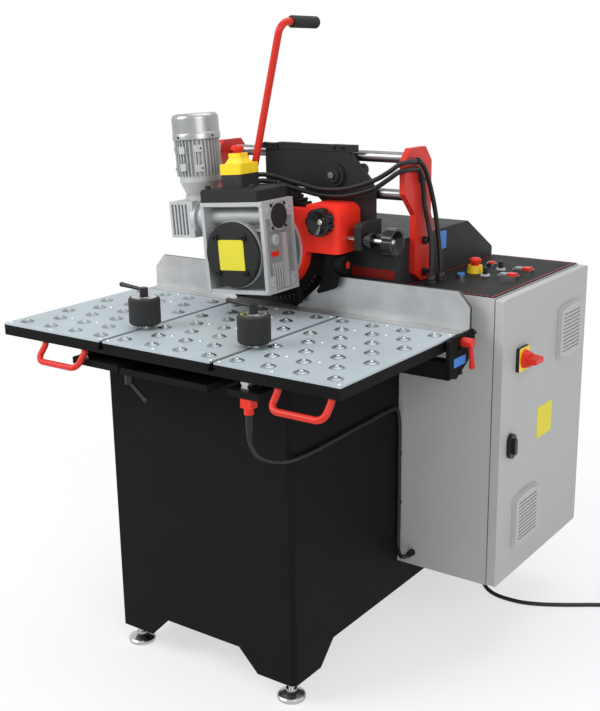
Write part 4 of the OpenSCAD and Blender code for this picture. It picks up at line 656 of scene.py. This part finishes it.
class BEVELLER_OT_finishes(bpy.types.Operator):
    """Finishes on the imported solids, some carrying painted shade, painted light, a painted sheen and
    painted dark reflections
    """

    bl_idname = "beveller.finishes"
    bl_label = "Finishes"

    def execute(self, context):
        make_finishes(context.scene.beveller_colours)
        plain = {
            "black coat": ("base_cabinet", "rail_beams", "fence_arms", "table_frame", "fence_brackets"),
            # Hood, gear covers and carriage plate: the black coat painted lighter, a painted sheen
            "black coat painted sheen": ("rear_hood", "gearbox_covers", "carriage_plate"),
            "panel print": ("control_panel",),
            "red enamel": ("side_plates", "pull_handles", "lever_tube", "fence_lever"),
            # Head casting: the red enamel painted lighter, as painted light
            "casting enamel painted light": ("head_casting",),
            "zinc plate": ("table_panels",),
            "ground steel": ("levelling_feet", "rail_blocks", "roller_post_left", "roller_post_right"),
            "cast alloy": ("small_gearbox",),
            "cabinet coat": ("cabinet_body", "cabinet_door"),
            "black plastic": ("mains_plug", "roller_lever_left", "roller_lever_right", "table_clamp_lever",
                              "motor_rotor", "door_lock", "dial_knob_front", "dial_knob_rear"),
            "gloss black": ("front_knob",),
            "red plastic": ("head_estop_button", "isolator_knob", "panel_estop_button", "red_button",
                            "stop_button_front", "stop_button_rear"),
            "blue plastic": ("blue_button",),
            "lamp lens": ("start_button_front", "start_button_rear"),
            "roller rubber": ("guide_roller_left", "guide_roller_right"),
            "grip rubber": ("lever_grip",),
            "dark tool steel": ("cutter",),
        }
        for finish, nodes in plain.items():
            for node in nodes:
                dress_with_finishes(node, finish)
        dress_with_finishes("main_gearbox", "cast alloy",
             # painted shade on the drum rim's front face
             ("cast painted shade", lambda m, n: (np.abs(m[:, 1] - DRUM_RIM_Y) < 0.5) & (n[:, 1] < -0.9)),
             # painted shade on the recess floors and the back of the front window
             ("shaded cast", self.recesses))
        dress_with_finishes("fence", "fence alloy",
             # painted shade on the top of the ledge
             ("ledge alloy painted shade", lambda m, n: (m[:, 2] < LEDGE_TOP) & (n[:, 2] > 0.5)),
             ("dark edge", lambda m, n: ((n[:, 0] > 0.3) | ((n[:, 2] > 0.3) & (m[:, 2] > FENCE_UPPER))
                                         | ((n[:, 1] < -0.9) & (m[:, 2] < LEDGE_EDGE)))))
        # Rods above ROD_Z: ground steel with a painted dark reflection
        dress_with_finishes("guide_rails_and_rods", "ground steel", ("rod steel painted dark reflection", lambda m, n: m[:, 2] > ROD_Z))
        dress_with_finishes("rail_switch", "red plastic", ("black plastic", lambda m, n: m[:, 2] < SWITCH_FOOT_Z))
        # Ball units: cups and balls in steel with painted dark reflections
        dress_with_finishes("ball_units", "cup steel painted dark reflection", ("ball steel painted dark reflection", self.balls))
        # Bearing housings: the black coat painted lighter, a painted sheen, with ground steel on the axle
        # ends
        dress_with_finishes("carriage_bearings", "black coat painted sheen",
             ("ground steel", lambda m, n: (m[:, 1] < AXLE_END_Y) & within(m, (0, 2), AXLE_XZ, 8.2)))
        dress_with_finishes("side_knob", "gloss black", ("ground steel", lambda m, n: within(m, (1, 2), SIDE_SCREW_YZ, 6.3)))
        dress_with_finishes("motor", "cast alloy",
             ("cowl alloy", lambda m, n: (m - leaned(MOTOR_U, MOTOR_Y, 0)) @ LEAN_UP > COWL_V - 0.2))
        dress_with_finishes("estop_box", "yellow plastic",
             ("box base plastic", lambda m, n: (m - leaned(0, 0, TOP_V)) @ LEAN_UP < BOX_SPLIT))
        dress_with_finishes("cutter_guard", "black coat",
             ("red plastic", lambda m, n: (m[:, 0] > GUARD_END_X) & (n[:, 0] > 0.9)))
        dress_with_finishes("door_fittings", "vent plastic",
             ("black plastic", lambda m, n: np.abs(m[:, 1:] - ISOLATOR_YZ).max(1) < 30),
             ("yellow plastic", lambda m, n: (np.abs(m[:, 1:] - ISOLATOR_YZ).max(1) < 28) & (n[:, 0] > 0.9)))
        dress_with_finishes("control_bezels", "bright steel",
             ("yellow plastic", lambda m, n: within(m, (0, 1), STOP_XY, 22)),
             ("vent plastic", lambda m, n: np.any([within(m, (0, 1), at, 15) for at in DIALS_XY], axis=0)))
        return {"FINISHED"}

    def recesses(self, middle, normal):
        """Floors of the recesses in the gearbox's two sides, and the back of its front window, which get
        painted shade.
        """
        deepest, outer = 86, 91.5
        aside = np.abs((middle - leaned(0, 0, 0)) @ LEAN_SIDE)
        floors = (aside > deepest) & (aside < outer) & (np.abs(normal @ LEAN_SIDE) > 0.9)
        return floors | ((normal[:, 1] < -0.9) & (np.abs(middle[:, 1] - GEAR_FRONT - WINDOW_DEPTH) < 0.6))

    def balls(self, middle, normal):
        """Faces whose normal points from the nearest ball's centre, above the cup's rim."""
        panel = np.clip(middle[:, 0] // PANEL_W, 0, 2)
        row = np.clip(np.round((middle[:, 1] - TABLE_D / 2) / BALL_PITCH_Y), -3, 3)
        count = np.where(np.abs(row) % 2 == 1, 4, 3)
        first = (panel + 0.5) * PANEL_W - (count - 1) / 2 * BALL_PITCH_X
        k = np.clip(np.round((middle[:, 0] - first) / BALL_PITCH_X), 0, count - 1)
        out = middle - np.stack(
            [first + k * BALL_PITCH_X, TABLE_D / 2 + row * BALL_PITCH_Y, 0 * row + BALL_Z], -1)
        return (np.linalg.norm(out, axis=1) < BALL_R + 0.12) & ((out * normal).sum(1) > 0)


class BEVELLER_OT_mains_lead(bpy.types.Operator):
    """Mains lead on the floor with its put-away coil and tie"""

    bl_idname = "beveller.mains_lead"
    bl_label = "Mains lead"

    def execute(self, context):
        sizes = context.scene.beveller_cables
        lead_d, coil_in = in_mm(sizes.lead_d), in_mm(sizes.coil_in)
        pitch = lead_d + in_mm(sizes.coil_gap)
        middle = 2 * math.pi * sizes.coil_turns + math.pi / 2
        a = np.arange(0, 2 * middle + 1e-6, math.radians(5))
        r = coil_in + pitch * np.abs(a - middle) / (2 * math.pi)
        climb = np.clip(a - middle + math.pi / 2, 0, math.pi)
        hub = np.array((COIL_START[0], COIL_START[1] + r[0]))
        coil = np.stack([hub[0] + r * np.sin(a), hub[1] - r * np.cos(a),
                         FLOOR_Z + lead_d / 2 + pitch * (1 - np.cos(climb)) / 2], -1)
        last = coil[-1] + (coil[-1] - coil[-2]) / np.linalg.norm(coil[-1] - coil[-2]) * lead_d
        path = np.vstack([spline(LEAD_ROUTE, 5), coil, [last]])
        lead = piece("mains_lead_run", swept(path, lead_d / 2), "cable rubber", "frame", 60)
        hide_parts("mains_lead", "mains_coil")
        out = r[0] + lead_d / 2
        inner = coil_in - lead_d / 2
        band = self.tie(hub, (inner + out) / 2, (out - inner) / 2 + 1.2, pitch)
        tie = piece("coil_tie", band, "black plastic", "frame")
        return {"FINISHED"}

    def tie(self, hub, radius, half, pitch):
        """Flat band round the coil's turns: a rounded rectangle loop swept with a flat section."""
        thick, side = 1.1, np.array((0, 4, 0))
        loop = rounded_outline(half, pitch + 0.4, 4, 6)
        inside = np.stack([loop[:, 0], 0 * loop[:, 0], loop[:, 1]], -1)
        outside = inside + inside / np.linalg.norm(inside, axis=1)[:, None] * thick
        middle = np.array((hub[0] - radius, hub[1], FLOOR_Z + pitch + 0.6))
        rings = middle + np.stack([inside - side, outside - side, outside + side, inside + side])
        count = len(loop)
        here = np.arange(count)
        after = np.roll(here, -1)
        closing = np.stack([3 * count + here, 3 * count + after, after, here], -1)
        faces = wall_faces(4, count).tolist() + closing.tolist()
        return rings.reshape(-1, 3), [f[::-1] for f in faces]


class BEVELLER_OT_conduits(bpy.types.Operator):
    """Ribbed conduits from the stop box over the side plate to the control panel, their glands and clips"""

    bl_idname = "beveller.conduits"
    bl_label = "Conduits"

    def execute(self, context):
        sizes = context.scene.beveller_cables
        conduit_d, rib, rib_depth = in_mm(sizes.conduit_d), in_mm(sizes.conduit_rib), 0.22
        for name, route in zip(("conduit_upper", "conduit_lower"), CONDUIT_ROUTES):
            path, s = resampled(spline(route, 12), 0.9)
            ribs = conduit_d / 2 - rib_depth + rib_depth * np.cos(2 * math.pi * s / rib)
            run = piece(name, swept(path, ribs, 14), "conduit", sharp=60)
            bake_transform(run)
        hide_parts("head_cables")
        glands = [self.gland(leaned(BOX_U + 20, BOX_Y + BOX_HALF, TOP_V + v), REAR, 7, 9.2) for v in (9, 24)]
        piece("stop_box_glands", joined(glands), "black plastic", "head")
        switch_end = (SWITCH_ROUTE[-1][0], HOOD_FRONT, SWITCH_ROUTE[-1][2])
        ends = [self.gland((*route[-1][:2], PANEL_TOP), UP, 13.2, 22) for route in CONDUIT_ROUTES]
        ends += [self.gland((*LEAD_ROUTE[0][:2], CABINET_BOTTOM), DOWN, 15, 50, 6.6),
                 self.gland(switch_end, FRONT, 9, 21)]
        fixed = piece("cable_glands", joined(ends), "black plastic", "frame")
        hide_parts("fixed_cables")
        spots = ((802.2, 596, 371.6), (0.08, 1, -0.15)), ((803.0, 617, 325), (0, 0.3, -1))
        clips = [turned(CONDUIT_CLIP, centre, axis, 28) for centre, axis in spots]
        piece("conduit_clips", joined(clips), "black plastic", "frame")
        return {"FINISHED"}

    def gland(self, base, axis, r, h, mouth=6.4):
        """Cable gland: flange, waist and a domed nut that closes on the cable, as one lathe profile."""
        profile = ((r, 0), (r, 0.3 * h), (r * 0.98, 0.34 * h), (r * 0.84, 0.36 * h), (r * 0.84, 0.5 * h),
                   (max(r * 0.82, mouth + 0.6), 0.75 * h), (mouth + 0.6, h), (mouth, h), (mouth, 0.9 * h))
        return turned(profile, base, axis, 30)


class BEVELLER_OT_switch_cable(bpy.types.Operator):
    """Cable of the rail switch along the base side, with its boot and clips"""

    bl_idname = "beveller.switch_cable"
    bl_label = "Switch cable"

    def execute(self, context):
        switch_d = in_mm(context.scene.beveller_cables.switch_d)
        run = swept(spline(SWITCH_ROUTE, 6), switch_d / 2, 14)
        piece("switch_cable", run, "cable rubber", "frame", 60)
        boot = turned(SWITCH_BOOT, (*SWITCH_ROUTE[0][:2], -130), DOWN, 24)
        piece("switch_boot", boot, "cable rubber", "frame")
        spots = (((785.2, 200, -225.8), REAR), ((785.2, 420, -222.5), REAR), ((785, 552, -350), UP),
                 ((785, 552, -480), UP))
        clips = joined([turned(SWITCH_CLIP, centre, axis, 24) for centre, axis in spots])
        piece("switch_cable_clips", clips, "black plastic", "frame")
        return {"FINISHED"}


def cap_screw(base, axis, d, h=None):
    """Socket cap screw head: cylinder with a chamfered rim and a round socket."""
    h = h or 0.62 * d
    r, chamfer = d / 2, 0.08 * d
    profile = ((r, 0), (r, h - chamfer), (r - chamfer, h), (0.52 * r, h), (0.48 * r, h - chamfer / 2),
               (0.46 * r, 0.45 * h))
    return turned(profile, base, axis, 18)


def button_screw(base, d):
    """Low domed screw head standing on the table."""
    r = d / 2
    profile = ((r, 0), (r * 0.98, 0.08 * d), (r * 0.8, 0.2 * d), (0.45 * r, 0.26 * d), (0.38 * r, 0.26 * d),
               (0.34 * r, 0.14 * d))
    return turned(profile, base, UP, 14)


class BEVELLER_OT_table_fittings(bpy.types.Operator):
    """Screws on the table panels and bearing faces on the guide rollers"""

    bl_idname = "beveller.table_fittings"
    bl_label = "Table fittings"

    def execute(self, context):
        screw_d = in_mm(context.scene.beveller_fittings.panel_screw_d)
        spots = ((-55, 122), (30, 122), (-55, 256), (30, 256), (-55, 390), (30, 390), (-14, 14), (-14, 469),
                 (-151, 13), (151, 13), (-151, 470), (151, 470))
        middles = [(i + 0.5) * PANEL_W for i in range(3)]
        screws = [button_screw((middle + x, y, 0), screw_d) for middle in middles for x, y in spots]
        piece("panel_screws", joined(screws), "bright steel", "table")
        for side, x in (("left", PANEL_W), ("right", 2 * PANEL_W)):
            face = turned(ROLLER_FACE, (x, ROLLER_Y, 0), UP, 40)
            piece("roller_bearing_" + side, face, "ground steel", "guide_roller_" + side)
        return {"FINISHED"}


class BEVELLER_OT_head_fittings(bpy.types.Operator):
    """Screws, caps, motor pads and the bare plates of the cutter head"""

    bl_idname = "beveller.head_fittings"
    bl_label = "Head fittings"

    def execute(self, context):
        sizes = context.scene.beveller_fittings
        screw_d, plate_t = in_mm(sizes.cap_screw_d), in_mm(sizes.plate_t)
        disc_y = GEAR_FRONT - DISC_T
        lid_spots = ((-78, 368), (58, 366), (68, 458), (-78, 460))
        bar_spots = ((368, 578, 398), (389, 578, 396), (573, 584, 396), (598, 584, 396))
        screws = [cap_screw(leaned(u, disc_y, v), FRONT, screw_d) for u in (-43, 43) for v in (-43, 43)]
        screws += [cap_screw(leaned(u, y, TOP_V), LEAN_UP, screw_d) for u, y in lid_spots]
        screws += [cap_screw(spot, FRONT, 9) for spot in bar_spots]
        piece("head_cap_screws", joined(screws), "black plastic", "head")
        self.gearbox(plate_t)
        self.motor()
        ring = turned(KNOCKOUT, leaned(BOX_U - 3, BOX_Y - BOX_HALF, TOP_V + 15), FRONT, 32)
        piece("stop_box_knockout", ring, "box base plastic", "head")
        label = plate((77, 74), 2, plate_t, leaned(0, disc_y, 0), FRONT, LEAN_UP)
        piece("cover_plate_bare", label, "plain yellow plate", "head")
        for knob, place, axis in (("front_knob", (610, 465.6, 229), FRONT),
                                  ("side_knob", (778.1, *SIDE_SCREW_YZ), RIGHT)):
            piece(knob + "_cap", turned(KNOB_CAP, place, axis, 24), "ground steel", knob)
        return {"FINISHED"}

    def gearbox(self, plate_t):
        """Plugs, bosses, seal screws and the bare red plate on the gearbox's front and right side."""
        plug_y, seal_y, seal_v = 397, 414, 86
        pads = [leaned(94.4, y, v) for y in (372.5, 456.5) for v in (101, -73)]
        side = [turned(SIDE_PLUG, pad, LEAN_SIDE, 24) for pad in pads]
        side += [turned(OIL_PLUG, leaned(93, plug_y, 30), LEAN_SIDE, 24)]
        ears = [leaned(93.5, seal_y + y, seal_v + v) for y in (-26, 26) for v in (-27, 27)]
        screws = [cap_screw(ear, LEAN_SIDE, 9, 3) for ear in ears]
        piece("seal_screws", joined(screws), "dark tool steel", "head")
        label = plate((32, 12), 1, plate_t, leaned(88, plug_y, -4), LEAN_SIDE, LEAN_UP)
        piece("gearbox_plate_bare", label, "red plastic", "head")
        corners = ((-88, -90), (88, -90), (-88, 117), (88, 117))
        face = [turned(FRONT_BOSS, leaned(u, GEAR_FRONT, v), FRONT, 20) for u, v in corners]
        piece("gearbox_bosses", joined(side + face), "cast alloy", "head")

    def motor(self):
        """Band and screws of the cowl, and four rows of pads round the motor's finned body."""
        fin_r, band_r, pad_t, screw_turn = 52.5, 60.4, 5.5, 0.87
        band = turned(COWL_BAND, leaned(MOTOR_U, MOTOR_Y, COWL_V), LEAN_UP, 60)
        piece("cowl_band", band, "cowl alloy", "head")
        pads, dots = [], []
        for turn in np.radians((-48, 42, 132, 222)):
            out = LEAN_SIDE * math.cos(turn) + np.array(REAR) * math.sin(turn)
            along = np.cross(LEAN_UP, out)
            for v in (253.5, 205):
                foot = leaned(MOTOR_U, MOTOR_Y, v) + out * fin_r
                pads.append(plate((23, 18), 1.5, pad_t, foot, out, LEAN_UP, 0.6))
                dots.append(cap_screw(foot + out * pad_t + along * 6.5, out, 5, 1.6))
            rib_foot = leaned(MOTOR_U, MOTOR_Y, 229) + out * (fin_r - 0.5)
            pads += [plate((3.6, 31), 1, 4.6, rib_foot + along * x, out, LEAN_UP, 0.5) for x in (-8, 8)]
            facing = math.cos(screw_turn) * out - math.sin(screw_turn) * along
            dots.append(cap_screw(leaned(MOTOR_U, MOTOR_Y, 282.5) + band_r * facing, facing, 6, 1.8))
        piece("motor_pads", joined(pads), "cast alloy", "head")
        piece("motor_screws", joined(dots), "dark tool steel", "head")


class BEVELLER_OT_frame_fittings(bpy.types.Operator):
    """Bolts on side plates and fence brackets, and the bare plates of fence and hood"""

    bl_idname = "beveller.frame_fittings"
    bl_label = "Frame fittings"

    def execute(self, context):
        sizes = context.scene.beveller_fittings
        bolt_d, plate_t = in_mm(sizes.side_bolt_d), in_mm(sizes.plate_t)
        sides = ((793, RIGHT), (218, LEFT))
        bolts = [cap_screw((x, 645, z), axis, bolt_d) for x, axis in sides for z in (176.5, 99)]
        piece("side_plate_bolts", joined(bolts), "black plastic", "frame")
        pins = [cap_screw((BRACKET_FACE, y, z), RIGHT, 10) for y, z in ((526, -2), (461, -82))]
        piece("fence_bracket_screws", joined(pins), "black plastic", "fence")
        label = plate((56, 21), 1.5, plate_t, (BRACKET_FACE, 462, -56), RIGHT)
        piece("bracket_plate_bare", label, "plain blue plate", "fence")
        # Plain red strip low on the hood's front, its colour darkened as painted shade
        strip = plate((123, 23), 1.5, plate_t, (701.5, HOOD_FRONT, 99.5), FRONT)
        piece("hood_strip_bare", strip, "red strip painted shade", "frame")
        hood = plate((38, 46), 1.5, plate_t, (778, 770, 157), RIGHT)
        piece("hood_plate_bare", hood, "plain blue plate", "frame")
        return {"FINISHED"}


class BEVELLER_OT_cabinet_fittings(bpy.types.Operator):
    """Red border of the control panel and the bare plate on the door"""

    bl_idname = "beveller.cabinet_fittings"
    bl_label = "Cabinet fittings"

    def execute(self, context):
        sizes = context.scene.beveller_fittings
        x, y = np.array((787.0, 1019.0)), np.array((569.0, 1049.0))
        dash, line, ink = in_mm(sizes.border_dash), 2.4, 0.15
        marks = []
        for along, across_at, span in ((0, y, x), (1, x, y)):
            count = int((span[1] - span[0]) // (1.6 * dash))
            for fixed in across_at:
                for s in np.linspace(span[0], span[1], count):
                    centre = (s, fixed, PANEL_TOP) if along == 0 else (fixed, s, PANEL_TOP)
                    size = (dash, line) if along == 0 else (line, dash)
                    marks.append(plate(size, 0.3, ink, centre, UP, REAR, 0.05))
        piece("panel_border", joined(marks), "red plastic", "frame")
        door = plate((88, 82), 3, in_mm(sizes.plate_t), (DOOR_FACE, 817, -284), RIGHT)
        piece("door_plate_bare", door, "plain yellow plate", "door")
        return {"FINISHED"}


class BEVELLER_PT_panel(bpy.types.Panel):
    """Buttons for each group of pieces"""

    bl_idname = "BEVELLER_PT_panel"
    bl_label = "Bevelling machine"
    bl_space_type = "VIEW_3D"
    bl_region_type = "UI"
    bl_category = "Bevelling machine"

    def draw(self, context):
        for operator in OPERATORS:
            self.layout.operator(operator.bl_idname)


OPERATORS = (
    BEVELLER_OT_stage, BEVELLER_OT_finishes, BEVELLER_OT_mains_lead, BEVELLER_OT_conduits,
    BEVELLER_OT_switch_cable, BEVELLER_OT_table_fittings, BEVELLER_OT_head_fittings,
    BEVELLER_OT_frame_fittings, BEVELLER_OT_cabinet_fittings)
SETTINGS = {
    "beveller_colours": MachineColours, "beveller_cables": CableSizes, "beveller_fittings": FittingSizes,
    "beveller_stage": StageSettings}


def register():
    for cls in (*SETTINGS.values(), *OPERATORS, BEVELLER_PT_panel):
        bpy.utils.register_class(cls)
    for name, cls in SETTINGS.items():
        setattr(bpy.types.Scene, name, PointerProperty(type=cls))


def unregister():
    for name in SETTINGS:
        delattr(bpy.types.Scene, name)
    for cls in reversed((*SETTINGS.values(), *OPERATORS, BEVELLER_PT_panel)):
        bpy.utils.unregister_class(cls)


def main():
    """Registers the add-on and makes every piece."""
    register()
    for operator in OPERATORS:
        getattr(bpy.ops.beveller, operator.bl_idname.split(".")[1])()


if __name__ == "__main__":
    main()
